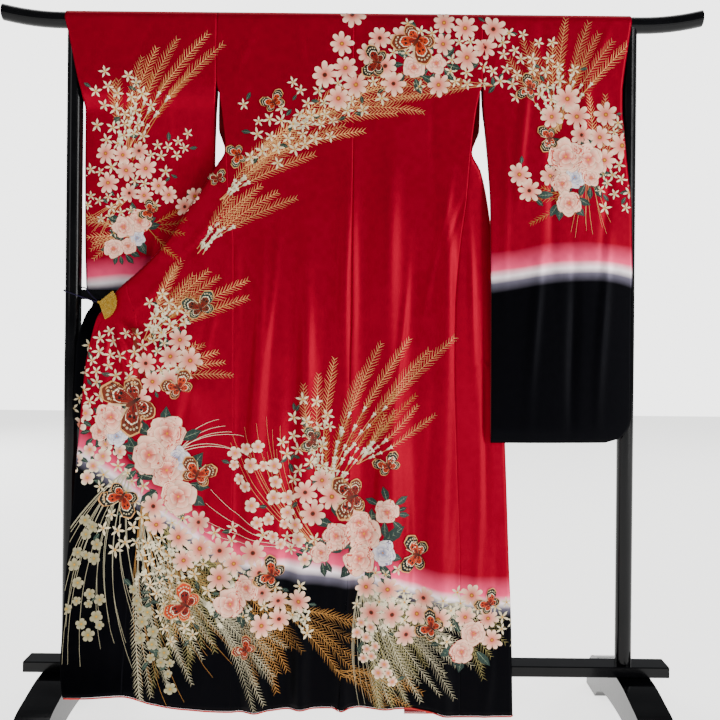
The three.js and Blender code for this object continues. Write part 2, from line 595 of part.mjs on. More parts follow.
// The rolled edge of the lining that shows under the hem, along the back and on round the front.
function ringAround(point, ahead, radius, count = 8) {
  const up = new THREE.Vector3(0, 0, 1);
  const across = ahead.clone().cross(up).normalize();
  const rise = across.clone().cross(ahead).normalize();
  return range(count).slice(0, -1).map((t) => {
    const angle = 2 * Math.PI * t;
    const move = across.clone().multiplyScalar(radius * Math.cos(angle));
    return point.clone().add(move.addScaledVector(rise, radius * Math.sin(angle)));
  });
}
function tube(points, radius, count) {
  return loft(points.map((point, i) => {
    const ahead = points[Math.min(points.length - 1, i + 1)].clone().sub(points[Math.max(0, i - 1)]);
    return ringAround(point, ahead.normalize(), radius, count);
  }));
}
for (const [name, rows, side] of [
  ["left", LEFT_FRONT, -1],
  ["right", RIGHT_FRONT, 1],
]) {
  const whole = frontLengths(rows, side, rows[0].z).whole;
  const path = range(8).map((u) => backPoint(side, u, 0));
  for (const t of range(side < 0 ? 12 : 22).slice(1)) {
    path.push(frontPoint(rows, side, t * whole, frontHem(rows, side, t * whole)));
  }
  const lowered = path.map(([x, y, z], i) => new THREE.Vector3(
    x + (i === 0 ? side : 0), y, z - SEAM - HEM_ROLL - 0.4,
  ));
  add(`hem_edge_${name}`, tube(lowered, HEM_ROLL, 6), HEM_SILK);
}

// ---------------------------------------------------------------- fan clip and its cord
// A fan blade: pleated sectors from the hinge, as one closed plate in the plane of the cloth.
function blade(fan, y) {
  const shape = new THREE.Shape();
  const angle = (t) => THREE.MathUtils.degToRad(mix(fan.from, fan.to, t));
  shape.moveTo(0, 0);
  for (const t of range(fan.pleats * 2)) {
    const bulge = Math.round(t * fan.pleats * 2) % 2 === 1 ? fan.scallop : 0;
    const reach = fan.radius - 2.2 + bulge;
    shape.lineTo(reach * Math.cos(angle(t)), reach * Math.sin(angle(t)));
  }
  shape.closePath();
  const plate = new THREE.ExtrudeGeometry(shape, { depth: CLIP.blade, bevelEnabled: false });
  plate.rotateX(Math.PI / 2);
  plate.translate(CLIP.x, y + CLIP.blade, CLIP.z);
  return toManifold(plate);
}
const barrel = new THREE.CylinderGeometry(CLIP.hinge, CLIP.hinge, CLIP.back - CLIP.front, 16);
barrel.translate(CLIP.x, (CLIP.back + CLIP.front) / 2, CLIP.z);
const clip = blade(FAN, CLIP.front).add(blade(JAW, CLIP.back - CLIP.blade)).add(toManifold(barrel));
add("fan_clip", fromManifold(clip), GOLD);

const route = new THREE.CatmullRomCurve3(CORD_ROUTE.map((p) => new THREE.Vector3(...p)));
add("clip_cord", tube(route.getSpacedPoints(56), CORD_RADIUS, 8), CORD);

// ---------------------------------------------------------------- stand
// The top rail keeps its section upright while its ends turn up.
function railRing(x) {
  const bend = clamp01((Math.abs(x) - RAIL_STRAIGHT) / (RAIL_HALF - RAIL_STRAIGHT));
  const centre = RAIL_Z + RAIL_RISE * bend * bend;
  return range(32).slice(0, -1).map((t) => {
    const angle = 2 * Math.PI * t;
    const [y, z] = [RAIL_RADIUS * Math.cos(angle), RAIL_RADIUS * Math.sin(angle)];
    return new THREE.Vector3(x, y, centre + z);
  });
}
const railEnd = range(6).map((t) => mix(RAIL_STRAIGHT, RAIL_HALF, t));
const railStations = [...railEnd.map((x) => -x).reverse(), ...railEnd];
add("top_rail", loft(railStations.map(railRing)), LACQUER);

const railHollow = new THREE.CylinderGeometry(RAIL_RADIUS + SEAM, RAIL_RADIUS + SEAM, 4 * POST_RADIUS, 48);
railHollow.rotateZ(Math.PI / 2);
for (const [name, side] of [
  ["left", -1],
  ["right", 1],
]) {
  const foot = BEAM.z + BEAM.height / 2 + SEAM;
  const head = RAIL_Z - RAIL_RADIUS / 2;
  const post = new THREE.CylinderGeometry(POST_RADIUS, POST_RADIUS, head - foot, 40);
  post.rotateX(Math.PI / 2);
  post.translate(side * POST_X, 0, (head + foot) / 2);
  const saddle = toManifold(railHollow.clone().translate(side * POST_X, 0, RAIL_Z));
  add(`post_${name}`, fromManifold(toManifold(post).subtract(saddle)), LACQUER);
}

// A board along X with a small bevel on its long edges.
function board(length, depth, height, edge, z) {
  const shape = new THREE.Shape();
  const [y, h] = [depth / 2, height / 2];
  shape.moveTo(-y + edge, -h);
  for (const [a, b] of [[y - edge, -h], [y, -h + edge], [y, h - edge], [y - edge, h],
    [-y + edge, h], [-y, h - edge], [-y, -h + edge]]) shape.lineTo(a, b);
  shape.closePath();
  const solid = new THREE.ExtrudeGeometry(shape, { depth: length, bevelEnabled: false });
  solid.translate(0, 0, -length / 2);
  solid.applyMatrix4(new THREE.Matrix4().set(0, 0, 1, 0, 1, 0, 0, 0, 0, 1, 0, z, 0, 0, 0, 1));
  return solid;
}
const midLength = 2 * (POST_X - POST_RADIUS - SEAM);
add("mid_rail", board(midLength, MID_RAIL.depth, MID_RAIL.height, 1, MID_RAIL.z), LACQUER);
add("lower_beam", board(BEAM.length, BEAM.depth, BEAM.height, BEAM.edge, BEAM.z), LACQUER);

// A foot: its side profile, flat under the beam, falling to a toe at each end over an arch.
for (const [name, side] of [
  ["left", -1],
  ["right", 1],
]) {
  const crown = FOOT_TOP.map(({ y, z }) => new THREE.Vector2(y, z));
  const back = FOOT_TOP.map(({ y, z }) => new THREE.Vector2(-y, z)).reverse();
  const arch = FOOT_ARCH.map(({ y, z }) => new THREE.Vector2(y, z));
  const archBack = FOOT_ARCH.map(({ y, z }) => new THREE.Vector2(-y, z)).reverse();
  const profile = new THREE.Shape();
  profile.moveTo(crown[0].x, crown[0].y);
  profile.splineThru(crown.slice(1));
  profile.lineTo(arch[0].x, arch[0].y);
  profile.lineTo(arch[1].x, arch[1].y);
  profile.splineThru([...arch.slice(2), ...archBack.slice(1, -1)]);
  profile.lineTo(archBack[archBack.length - 1].x, archBack[archBack.length - 1].y);
  profile.lineTo(back[0].x, back[0].y);
  profile.splineThru(back.slice(1));
  profile.closePath();
  const solid = new THREE.ExtrudeGeometry(profile, { depth: FOOT.width, bevelEnabled: false, curveSegments: 5 });
  solid.translate(0, 0, -FOOT.width / 2);
  solid.applyMatrix4(new THREE.Matrix4().set(0, 0, 1, side * FOOT.x, 1, 0, 0, 0, 0, 1, 0, 0, 0, 0, 0, 1));
  add(`foot_${name}`, solid, LACQUER);
}

export default group;
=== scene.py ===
"""A furisode hung over a lacquered kimono stand: cloth shells, dyed motifs, materials, light and camera."""
import math
import random

import bmesh
import bpy
import numpy as np
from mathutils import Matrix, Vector
from mathutils.bvhtree import BVHTree


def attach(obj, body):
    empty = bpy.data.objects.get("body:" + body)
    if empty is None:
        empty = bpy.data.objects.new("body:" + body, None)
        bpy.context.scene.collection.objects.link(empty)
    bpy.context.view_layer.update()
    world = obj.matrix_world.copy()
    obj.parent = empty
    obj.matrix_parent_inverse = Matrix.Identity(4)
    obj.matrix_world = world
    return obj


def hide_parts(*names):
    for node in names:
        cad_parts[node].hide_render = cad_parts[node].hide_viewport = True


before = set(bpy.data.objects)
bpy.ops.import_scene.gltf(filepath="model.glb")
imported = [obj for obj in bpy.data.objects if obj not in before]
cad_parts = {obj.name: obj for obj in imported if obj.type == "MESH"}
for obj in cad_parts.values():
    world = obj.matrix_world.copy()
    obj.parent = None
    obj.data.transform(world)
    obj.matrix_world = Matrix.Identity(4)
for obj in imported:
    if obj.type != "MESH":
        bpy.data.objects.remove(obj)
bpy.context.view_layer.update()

MM = 0.001
random.seed(11)

# ------------------------------------------------------------------ camera
CAMERA_AT = (0.0246, -2.220, 0.965)
CAMERA_ROLL = math.radians(0.55)
SENSOR = 36.0
LENS = SENSOR * 2200 / (2.345 * 720)  # 2.345 mm a pixel at 2200 mm
HORIZON_SHIFT = 45 / 720  # the horizon lies 45 pixels above the middle


def put(name, data):
    """An object for a mesh, camera or lamp."""
    thing = bpy.data.objects.new(name, data)
    bpy.context.collection.objects.link(thing)
    return thing


def make_camera():
    data = bpy.data.cameras.new("camera")
    data.sensor_width = SENSOR
    data.lens = LENS
    data.shift_y = -HORIZON_SHIFT
    camera = put("camera", data)
    camera.location = CAMERA_AT
    camera.rotation_euler = (math.radians(90), 0, 0)
    camera.rotation_euler.rotate_axis("Z", CAMERA_ROLL)
    bpy.context.scene.camera = camera


make_camera()

# ------------------------------------------------------------------ sizes, as in the CAD part (mm)
CLOTH = 1.2  # shell thickness
BAND = 2.2  # the folded collar band
SEAM = -0.2  # sewn edges lap a little
RAIL_Z = 1656
DRAPE = 21.0  # the cloth's bend over the rail
HEM_Z = 40
ARMHOLE_Z = 1347
SLEEVE_BOTTOM = 672
SLEEVE_CORNER = 60
COLLAR_END = {-1: 883, 1: 848}
FRONT_ROWS = 26
COLLAR_FROM = 13 / FRONT_ROWS
NECK_FROM = 24 / FRONT_ROWS
SIDES = (("left", -1), ("right", 1))
OKUMI_TOP = 21 / FRONT_ROWS
CLIP_X, CLIP_Z = -579, 989


def table(names, *rows):
    """Named columns from rows of numbers; the first column is the key."""
    return {name: np.array(values, float) for name, values in zip(names.split(), zip(*rows))}


BACK = table(
    "z left centre right y",
    (40, -266, -18, 264, -56),
    (224, -267, -7, 263, -54.5),
    (413, -269, 3, 261, -51),
    (678, -267, 2, 251, -45),
    (858, -269, 3, 246, -41),
    (974, -270, 5, 247, -38),
    (1137, -272, 5, 258, -34),
    (1231, -283, 5, 270, -32),
    (1347, -292, 5, 280, -29),
    (1440, -303, 5, 291, -26),
    (1490, -312, 5, 301, -24.5),
    (1510, -317, 5, 307, -24),
    (1656, -317, 5, 307, -DRAPE),
)
HEM = table(
    "x z",
    (-624, 113), (-581, 108), (-505, 103), (-439, 78), (-371, 60), (-266, 48), (-139, 56),
    (-32, 61), (-12, 55), (8, 60), (108, 61), (180, 55), (264, 43), (387, 43),
)
# Soft folds of the back: x of the crest, how far it stands out, its half width and the height it fades at.
FOLDS = (
    (-250, -4, 14, 1250), (-212, 7, 20, 1300), (-135, -5, 18, 1150), (-104, 6, 18, 1240), (-7, 6, 16, 1420),
    (35, -6, 24, 1350), (93, 8, 24, 1450), (156, -6, 22, 1250), (222, 7, 20, 1400),
)
FRONT_NAMES = "z start fold roll hidden edge free okumi collar"
LEFT_FRONT = table(
    FRONT_NAMES,
    (107, -266, -624, 0, 0, -150, -150, 121, 0),
    (162, -266, -639, 0, 0, -122, -122, 134, 0),
    (209, -267, -642, 0, 0, -108, -108, 138, 0),
    (310, -268, -643, 0, 0, -85, -85, 141, 0),
    (577, -268, -632, 0, 0, -52, -52, 154, 0),
    (677, -267, -624, 0, 0, -48, -48, 156, 0),
    (765, -268, -618, 0, 0, -47, -47, 151, 0),
    (848, -269, -610, 0, 0, -46, -46, 135, 0),
    (897, -269, -600, 0, 0, -46, -46, 112, 5),
    (957, -270, -583, 0, 0, -46, -46, 74, 14),
    (974, -270, -569, 4, 12, -46, -37, 64, 22),
    (1017, -271, -541, 8, 60, -45, -27, 60, 42),
    (1060, -271, -495, 9, 115, -42, -16, 60, 55),
    (1096, -271, -460, 10, 150, -40, -10, 56, 60),
    (1136, -272, -426, 10, 185, -39, -6, 50, 62),
    (1218, -282, -375, 10, 225, -36, 0, 38, 62),
    (1267, -286, -341, 9, 240, -34, 3, 26, 60),
    (1305, -289, -319, 6, 250, -32, 5, 18, 58),
    (1347, -292, -295, 3, 245, -29, 8, 6, 56),
    (1405, -314, -314, 0, 272, 0, 12, 0, 55),
    (1510, -317, -317, 0, 280, 20, 19, 0, 55),
    (1656, -317, -317, 0, 282, DRAPE, DRAPE, 0, 55),
)
RIGHT_FRONT = table(
    FRONT_NAMES,
    (42, 264, 387, 8, 243, -53, -38, 150, 0),
    (250, 263, 382, 8, 246, -51, -36, 150, 0),
    (400, 261, 376, 8, 250, -45, -30, 150, 0),
    (654, 252, 367, 8, 255, -34, -22, 150, 0),
    (856, 246, 357, 8, 315, -29, -16, 147, 55),
    (1003, 249, 349, 8, 294, -28, -13, 110, 55),
    (1060, 253, 343, 8, 290, -27, -10, 92, 55),
    (1212, 268, 324, 8, 281, -26, -3, 48, 55),
    (1305, 277, 304, 5, 270, -27, 4, 20, 55),
    (1347, 280, 283, 3, 252, -29, 8, 6, 55),
    (1405, 303, 303, 0, 268, 0, 12, 0, 55),
    (1510, 307, 307, 0, 270, 20, 19, 0, 55),
    (1656, 307, 307, 0, 272, DRAPE, DRAPE, 0, 55),
)
FRONTS = {-1: LEFT_FRONT, 1: RIGHT_FRONT}
SLEEVE_NAMES = "z inner near far near_in near_out far_in far_out"
SLEEVES = {
    -1: table(
        SLEEVE_NAMES,
        (672, -322, -646, -646, 7, -27, 18, -25),
        (891, -323, -638, -638, 9, -26, 20, -24),
        (910, -323, -634, -634, 9, -24.5, 21, -22.5),
        (945, -323, -626, -626, 10, -16, 22, -14),
        (966, -323, -619, -619, 10.5, -7, 22, -5),
        (985, -323, -609, -609, 11, 6, 22, 8),
        (994, -323, -616, -616, 11, 11, 23, 13),
        (1030, -323, -628, -628, 11, 14, 23, 16),
        (1136, -324, -630, -630, 9, 9, 22, 11),
        (1308, -324, -630, -630, 4, 3, 20, 5),
        (1446, -321, -629, -629, -13, -2, 19, 2),
        (1464, -320, -631, -631, -17.5, -12, 19.5, 11),
        (1480, -319, -633, -633, -21, -20, 20, 20),
        (1510, -317.7, -641, -641, -24, -22.5, 20, 22.5),
        (1603, -317.7, -661, -661, -22, -22, 20.3, 22),
        (1656, -317.7, -674, -674, -DRAPE, -DRAPE, DRAPE, DRAPE),
    ),
    1: table(
        SLEEVE_NAMES,
        (672, 330, 660, 660, -52, -27, -41, -25),
        (1003, 328, 660, 660, -49, -27, -38, -25),
        (1224, 325, 657, 657, -44, -26, -33, -24),
        (1305, 321, 648, 648, -37, -25.5, -22, -23.5),
        (1416, 312, 637, 637, -28, -24.5, -6, -22.5),
        (1446, 309, 634, 629, -26, -23.5, 2, -12),
        (1500, 307.7, 634, 627, -24, -22.5, 18, 10),
        (1510, 307.7, 635, 627, -24, -22.5, 20, 14),
        (1560, 307.7, 641, 630, -23, -22.5, 20.2, 22),
        (1615, 307.7, 649, 645, -22, -22, 20.3, 22),
        (1656, 307.7, 655, 655, -DRAPE, -DRAPE, DRAPE, DRAPE),
    ),
}
NECK = table(
    "at seam_x seam_z edge_x edge_z",
    (0, 89.5, 1524, 37, 1524),
    (0.3, 89.5, 1590, 35, 1570),
    (0.55, 89, 1649, 30, 1591),
    (0.8, 42, 1649, 15, 1594),
    (1, 0, 1649, 0, 1595),
)
# Creases that fan out from the clip: angle from straight down in degrees, half width and height.
PULLS = ((-2, 4, 5), (9, 4, -5), (20, 5, 7), (35, 6, -5), (50, 7, 6))
PULL_FOOT = (CLIP_X + 18, CLIP_Z - 20)
PULL_FROM, PULL_GROWS, PULL_REACH = 25, 70, 290  # mm from the foot
PULL_DEPTH, PULL_HOLLOW = 3.2, 1.2  # how much more than the plain solid's they stand out and sink in

# ------------------------------------------------------------------ curves

def column(rows, name, at, key="z"):
    """One column of a table at a key, smooth between rows and never past them."""
    keys, values = rows[key], rows[name]
    step = np.diff(keys)
    slope = np.diff(values) / step
    before, after = slope[:-1], slope[1:]
    total = before + after
    inner = np.where(before * after <= 0, 0.0, 2 * before * after / np.where(total == 0, 1, total))
    tangent = np.concatenate([slope[:1], inner, slope[-1:]])
    at = np.asarray(at, float)
    i = np.clip(np.searchsorted(keys, at, side="left") - 1, 0, len(keys) - 2)
    t = np.clip((at - keys[i]) / step[i], 0, 1)
    t2, t3 = t * t, t * t * t
    return (
        (2 * t3 - 3 * t2 + 1) * values[i]
        + (t3 - 2 * t2 + t) * step[i] * tangent[i]
        + (3 * t2 - 2 * t3) * values[i + 1]
        + (t3 - t2) * step[i] * tangent[i + 1]
    )


def mix(a, b, t):
    return a + (b - a) * t


def ease(t):
    t = np.clip(t, 0, 1)
    return t * t * (3 - 2 * t)


# ------------------------------------------------------------------ cloth surfaces
SEAM_STEP = 0.7  # the centre back's seam allowance lies to one side
RIDGE_AT, RIDGE_WIDTH, GROOVE_WIDTH = 2.5, 3, 5
FOLD_DEPTH = 1.6  # the cloth's folds against the plain solid's
FOLD_WANDER, WANDER_LENGTH = 5, 170
FOLD_SWELL, SWELL_LENGTH = 0.3, 130
FOLD_FADE = 420
CREASE_DEPTH = 2.0  # the small creases against the heights in their tables
CREASE_BOW, BOW_TURN, CREASE_TAPER = 6, 2.2, 2.2


def folds(x, z):
    out = 0
    for crest, height, width, top in FOLDS:
        lean = FOLD_WANDER * np.sin(z / WANDER_LENGTH + crest)
        swell = FOLD_DEPTH * (1 + FOLD_SWELL * np.sin(z / SWELL_LENGTH + crest / 9))
        across = (x - lean - crest) / width
        out = out + swell * height * ease((top - z) / FOLD_FADE) * np.exp(-(across**2))
    return out


# Small creases: x, z of the middle, length, half width, lean (dx for dz) and height.
CREASES = (
    (-292, 1180, 210, 7, -0.55, -1.6), (-262, 1030, 260, 8, -0.12, 2.0), (-228, 820, 330, 9, 0.03, -1.7),
    (-182, 980, 260, 8, 0.05, 1.6), (-160, 520, 300, 10, -0.04, 2.0), (-70, 700, 360, 9, 0.03, -1.6),
    (-40, 430, 260, 10, 0.06, 2.2), (10, 980, 300, 8, -0.03, 1.6), (62, 600, 380, 9, 0.02, -1.8),
    (120, 880, 280, 8, 0.05, 1.7), (140, 380, 260, 11, -0.05, 2.2), (188, 640, 320, 9, 0.03, -1.8),
    (205, 1130, 220, 7, 0.16, 1.5), (240, 420, 300, 9, 0.02, 1.8), (-205, 290, 200, 12, 0.08, -2.0),
    (20, 240, 200, 12, -0.05, -2.2), (110, 180, 140, 14, 0.04, 2.4), (-96, 200, 150, 13, 0.04, 2.2),
    (-250, 1580, 90, 8, 0.25, 1.2), (250, 1600, 80, 9, -0.3, 1.4), (150, 1610, 60, 8, 0.4, -1.1),
    (-120, 1600, 70, 8, -0.3, 1.0), (-20, 1560, 110, 9, 0.1, -0.9), (70, 1500, 150, 9, 0.08, 1.1),
    (272, 1250, 160, 7, 0.32, -1.5), (-180, 1420, 170, 9, 0.12, 1.0), (190, 1400, 160, 9, -0.1, -1.0),
)


def creases(x, z, marks=CREASES):
    out = 0
    for cx, cz, length, width, lean, height in marks:
        along = (z - cz) / length
        across = (x - cx - lean * (z - cz) - CREASE_BOW * np.sin((z - cz) / length * BOW_TURN)) / width
        out = out + CREASE_DEPTH * height * np.exp(-(along**2) * CREASE_TAPER - across**2)
    return out


def pulls(x, z):
    dx, dz = x - PULL_FOOT[0], PULL_FOOT[1] - z
    distance = np.hypot(dx, dz)
    angle = np.degrees(np.arctan2(dx, dz))
    out = 0
    for at, width, height in PULLS:
        out = out + height * np.exp(-(((angle - at) / width) ** 2))
    out = np.where(out > 0, PULL_DEPTH * out, PULL_HOLLOW * out)
    return out * ease((distance - PULL_FROM) / PULL_GROWS) * np.exp(-distance / PULL_REACH)


def back_surface(side, u, v):
    height = np.minimum(v, 1)
    name = "left" if side < 0 else "right"
    hem_x = mix(column(BACK, "centre", HEM_Z), column(BACK, name, HEM_Z), u)
    z = mix(column(HEM, "z", hem_x, "x"), RAIL_Z, height)
    centre = column(BACK, "centre", z) + side * SEAM / 2
    x = mix(centre, column(BACK, name, z), u)
    angle = np.clip(v - 1, 0, 1) * math.pi
    keep = np.sin(np.clip(u, 0.0, 1) * math.pi) ** 0.3
    if side < 0:
        sewn = SEAM_STEP * np.exp(-(((x - centre - RIDGE_AT) / RIDGE_WIDTH) ** 2))
    else:
        sewn = -SEAM_STEP * np.exp(-(((x - centre) / GROOVE_WIDTH) ** 2))
    y = column(BACK, "y", z) - folds(x, z) - creases(x, z) * keep - sewn
    over = v > 1
    y = np.where(over, -DRAPE * np.cos(angle), y)
    z = np.where(over, RAIL_Z + DRAPE * np.sin(angle), z)
    return x, y, z


def front_lengths(side, z):
    rows = FRONTS[side]
    seam = column(BACK, "left" if side < 0 else "right", z)
    start = np.where(z <= ARMHOLE_Z, seam, column(rows, "start", z))
    roll = np.maximum(0, column(rows, "roll", z))
    turn = column(rows, "fold", z) - side * roll
    outer = np.maximum(0, side * (turn - start))
    hidden = column(rows, "hidden", z)
    return start, roll, turn, outer, hidden


def front_surface(side, along, z):
    rows = FRONTS[side]
    distance = np.maximum(0, along)
    start, roll, turn, outer, hidden = front_lengths(side, z)
    hidden = np.maximum(1, hidden)
    edge, free = column(rows, "edge", z), column(rows, "free", z)
    seam_z = np.minimum(z, ARMHOLE_Z)
    seam_x = column(BACK, "left" if side < 0 else "right", seam_z)
    seam_y = column(BACK, "y", seam_z) - folds(seam_x, seam_z)
    first = mix(seam_y, edge, ease((z - ARMHOLE_Z) / 58))
    share = np.clip(distance / np.maximum(outer, 1e-6), 0, 1)
    x_out = start + side * (distance + SEAM)
    y_out = mix(first, edge, share**1.4)
    if side < 0:
        y_out = y_out - pulls(x_out, z) * ease(share * 4) * (1 - share**6)
    y_out = y_out - creases(x_out, z, FLARE_CREASES[side]) * ease(share * 6) * (1 - share**8)
    leave = np.where(outer > 0, edge, first)
    past = distance - outer
    arc = math.pi * roll
    angle = np.clip(past / np.maximum(roll, 1e-6), 0, math.pi)
    x_arc = turn + side * (roll * np.sin(angle) + SEAM)
    y_arc = leave + roll - roll * np.cos(angle)
    behind = np.clip((past - arc) / hidden, 0, 1)
    x_in = turn - side * (past - arc - SEAM)
    y_in = mix(leave + 2 * roll, free, behind**0.8)
    out = distance < outer
    turning = ~out & (past < arc)
    x = np.where(out, x_out, np.where(turning, x_arc, x_in))
    y = np.where(out, y_out, np.where(turning, y_arc, y_in))
    return x, y, z


FLARE_CREASES = {
    -1: (
        (-330, 900, 260, 9, 0.22, 2.2), (-372, 760, 300, 10, 0.2, -2.4), (-420, 640, 300, 12, 0.16, 2.6),
        (-500, 720, 220, 10, 0.05, -2.2), (-470, 400, 260, 14, -0.05, 3.0), (-560, 560, 280, 11, -0.03, 2.4),
        (-340, 480, 300, 12, 0.06, -2.4), (-395, 300, 220, 14, 0.04, 3.0), (-590, 320, 200, 12, -0.02, -2.6),
        (-310, 1190, 120, 7, 0.75, 1.8), (-360, 1120, 120, 7, 0.8, -1.8), (-440, 1030, 90, 7, 0.9, 1.8),
        (-530, 300, 170, 13, 0.02, 2.6), (-320, 220, 170, 13, 0.03, 2.6),
    ),
    1: (
        (285, 1000, 260, 8, -0.08, 1.8), (320, 700, 320, 9, -0.05, -2.0), (300, 380, 260, 10, 0.0, 2.2),
        (345, 300, 220, 10, -0.04, -2.0), (330, 120, 120, 12, 0.03, 2.4),
    ),
}


def front_hem(side, distance):
    if side > 0:
        return np.full(np.shape(distance), 43.0)
    return column(HEM, "z", LEFT_FRONT["start"][0] - distance, "x")


def front_widths(side, z):
    """Distances from the side edge where the body width, the okumi and the collar end."""
    rows = FRONTS[side]
    _, roll, _, outer, hidden = front_lengths(side, z)
    whole = outer + math.pi * roll + hidden
    bare = np.where(z < COLLAR_END[side], 0, column(rows, "collar", z))
    return whole - bare - column(rows, "okumi", z), whole - bare, whole


def front_strip(side, first, last, u, v):
    """A part of the front between two of its widths (0 body, 1 okumi, 2 collar, None the side edge)."""
    bottom = FRONTS[side]["z"][0]

    def span(z):
        widths = front_widths(side, z)
        start = 0 if first is None else widths[first] + SEAM
        return start, widths[last] - (SEAM if last == 1 else 0)

    low = front_hem(side, mix(*span(bottom), u))
    z = mix(low, RAIL_Z, v)
    return front_surface(side, mix(*span(z), u), z)


def body_surface(side, u, v):
    back = back_surface(side, u, np.minimum(v, 2))
    front = front_strip(side, None, 0, 1 - u, np.clip(3 - v, 0, 1))
    return tuple(np.where(v <= 2, a, b) for a, b in zip(back, front))


SLEEVE_CREASES = {
    -1: (
        (-430, 1400, 200, 9, -0.08, 2.4), (-520, 1330, 260, 10, 0.04, -2.4), (-380, 1200, 260, 9, 0.05, 2.2),
        (-580, 1250, 220, 9, -0.03, 2.2), (-470, 1130, 180, 10, 0.03, -2.2), (-600, 1560, 90, 8, 0.3, 1.6),
        (-360, 1560, 100, 8, -0.2, 1.4), (-490, 1590, 80, 9, 0.3, -1.4), (-450, 850, 200, 10, 0.02, 2.4),
        (-560, 800, 200, 10, -0.02, -2.4),
    ),
    1: (
        (400, 1400, 240, 10, 0.05, 2.6), (470, 1300, 280, 10, -0.04, -2.6), (540, 1380, 240, 10, 0.03, 2.6),
        (600, 1240, 240, 9, 0.04, -2.2), (360, 1180, 240, 9, -0.03, 2.4), (430, 950, 280, 11, 0.03, 2.6),
        (520, 900, 280, 11, -0.02, -2.6), (590, 950, 280, 10, 0.02, 2.4), (350, 1590, 80, 8, 0.35, 1.6),
        (450, 1600, 70, 9, -0.3, -1.4), (580, 1590, 80, 8, 0.3, 1.6),
    ),
}


def sleeve_surface(side, u, v):
    rows = SLEEVES[side]
    far = v > 1.5
    rise = np.where(far, 3 - v, v)
    z = mix(SLEEVE_BOTTOM, RAIL_Z, np.clip(rise, 0, 1))
    inner = column(rows, "inner", z)
    edge = np.where(far, column(rows, "far", z), column(rows, "near", z))
    drop = np.clip(SLEEVE_BOTTOM + SLEEVE_CORNER - z, 0, SLEEVE_CORNER)
    corner = SLEEVE_CORNER - np.sqrt(SLEEVE_CORNER**2 - drop**2)
    x = mix(inner, edge - side * corner, u)
    near = mix(column(rows, "near_in", z), column(rows, "near_out", z), u * u)
    distant = mix(column(rows, "far_in", z), column(rows, "far_out", z), u * u)
    closing = ease((SLEEVE_BOTTOM + 30 - z) / 30)
    half = mix((distant - near) / 2, (CLOTH + SEAM) / 2, closing)
    wave = creases(x, z, SLEEVE_CREASES[side]) * np.sin(np.clip(u, 0.02, 0.98) * math.pi) ** 0.5
    y = (near + distant) / 2 + np.where(far, half, -half) - wave
    over = (v >= 1) & (v <= 2)
    angle = np.clip(v - 1, 0, 1) * math.pi
    y = np.where(over, -DRAPE * np.cos(angle), y)
    z = np.where(over, RAIL_Z + DRAPE * np.sin(angle), z)
    return x, y, z


def collar_surface(u, v):
    parts = []
    for side in (-1, 1):
        rise = np.clip(v if side < 0 else 2 - v, 0, 1)
        low = front_hem(side, front_widths(side, FRONTS[side]["z"][0])[2])
        z = mix(low, RAIL_Z, np.minimum(rise, NECK_FROM))
        _, start, end = front_widths(side, z)
        straight = front_surface(side, mix(start + SEAM, end, u), z)
        t = np.clip((rise - NECK_FROM) / (1 - NECK_FROM), 0, 1)
        neck_x = side * mix(column(NECK, "seam_x", t, "at"), column(NECK, "edge_x", t, "at"), u)
        neck_z = mix(column(NECK, "seam_z", t, "at"), column(NECK, "edge_z", t, "at"), u)
        neck = (neck_x, np.full(np.shape(neck_x), DRAPE + 0.6), neck_z)
        parts.append([np.where(rise <= NECK_FROM, a, b) for a, b in zip(straight, neck)])
    return tuple(np.where(v <= 1, a, b) for a, b in zip(*parts))


# ------------------------------------------------------------------ materials

def colour(red, green, blue):
    """A linear colour from 0-255 screen values."""
    def linear(c):
        c /= 255
        return c / 12.92 if c <= 0.04045 else ((c + 0.055) / 1.055) ** 2.4
    return (linear(red), linear(green), linear(blue), 1)


class Nodes:
    """A small helper that adds and joins shader nodes."""

    def __init__(self, name, **sockets):
        self.material = bpy.data.materials.new(name)
        self.material.use_nodes = True
        self.tree = self.material.node_tree
        self.shader = self.tree.nodes["Principled BSDF"]
        self.place = self.add("NewGeometry").outputs["Position"]
        for socket, value in sockets.items():
            self.shader.inputs[socket.replace("_", " ")].default_value = value

    def add(self, kind, **values):
        node = self.tree.nodes.new("ShaderNode" + kind)
        for key, value in values.items():
            if key in node.inputs:
                node.inputs[key].default_value = value
            else:
                setattr(node, key, value)
        return node

    def join(self, out, into):
        self.tree.links.new(out, into)

    def texture(self, kind, **values):
        """A texture laid in space."""
        node = self.add("Tex" + kind, **values)
        self.join(self.place, node.inputs["Vector"])
        return node

    def math(self, operation, a, b=0.0):
        node = self.add("Math", operation=operation)
        for socket, value in zip(node.inputs, (a, b)):
            if isinstance(value, (int, float)):
                socket.default_value = value
            else:
                self.join(value, socket)
        return node.outputs[0]

    def ramp(self, value, stops):
        node = self.add("ValToRGB")
        self.join(value, node.inputs[0])
        points = node.color_ramp.elements
        while len(points) < len(stops):
            points.new(0.5)
        for point, (at, shade) in zip(points, stops):
            point.position = at
            point.color = shade
        return node.outputs[0]

    def bump(self, height, strength, distance):
        node = self.add("Bump", Strength=strength, Distance=distance)
        self.join(height, node.inputs["Height"])
        self.join(node.outputs[0], self.shader.inputs["Normal"])
        return node


RED = colour(130, 0, 28)
PINK = colour(226, 70, 110)
PALE = colour(238, 224, 228)
GREY = colour(92, 88, 102)
BLACK = colour(3, 3, 5)

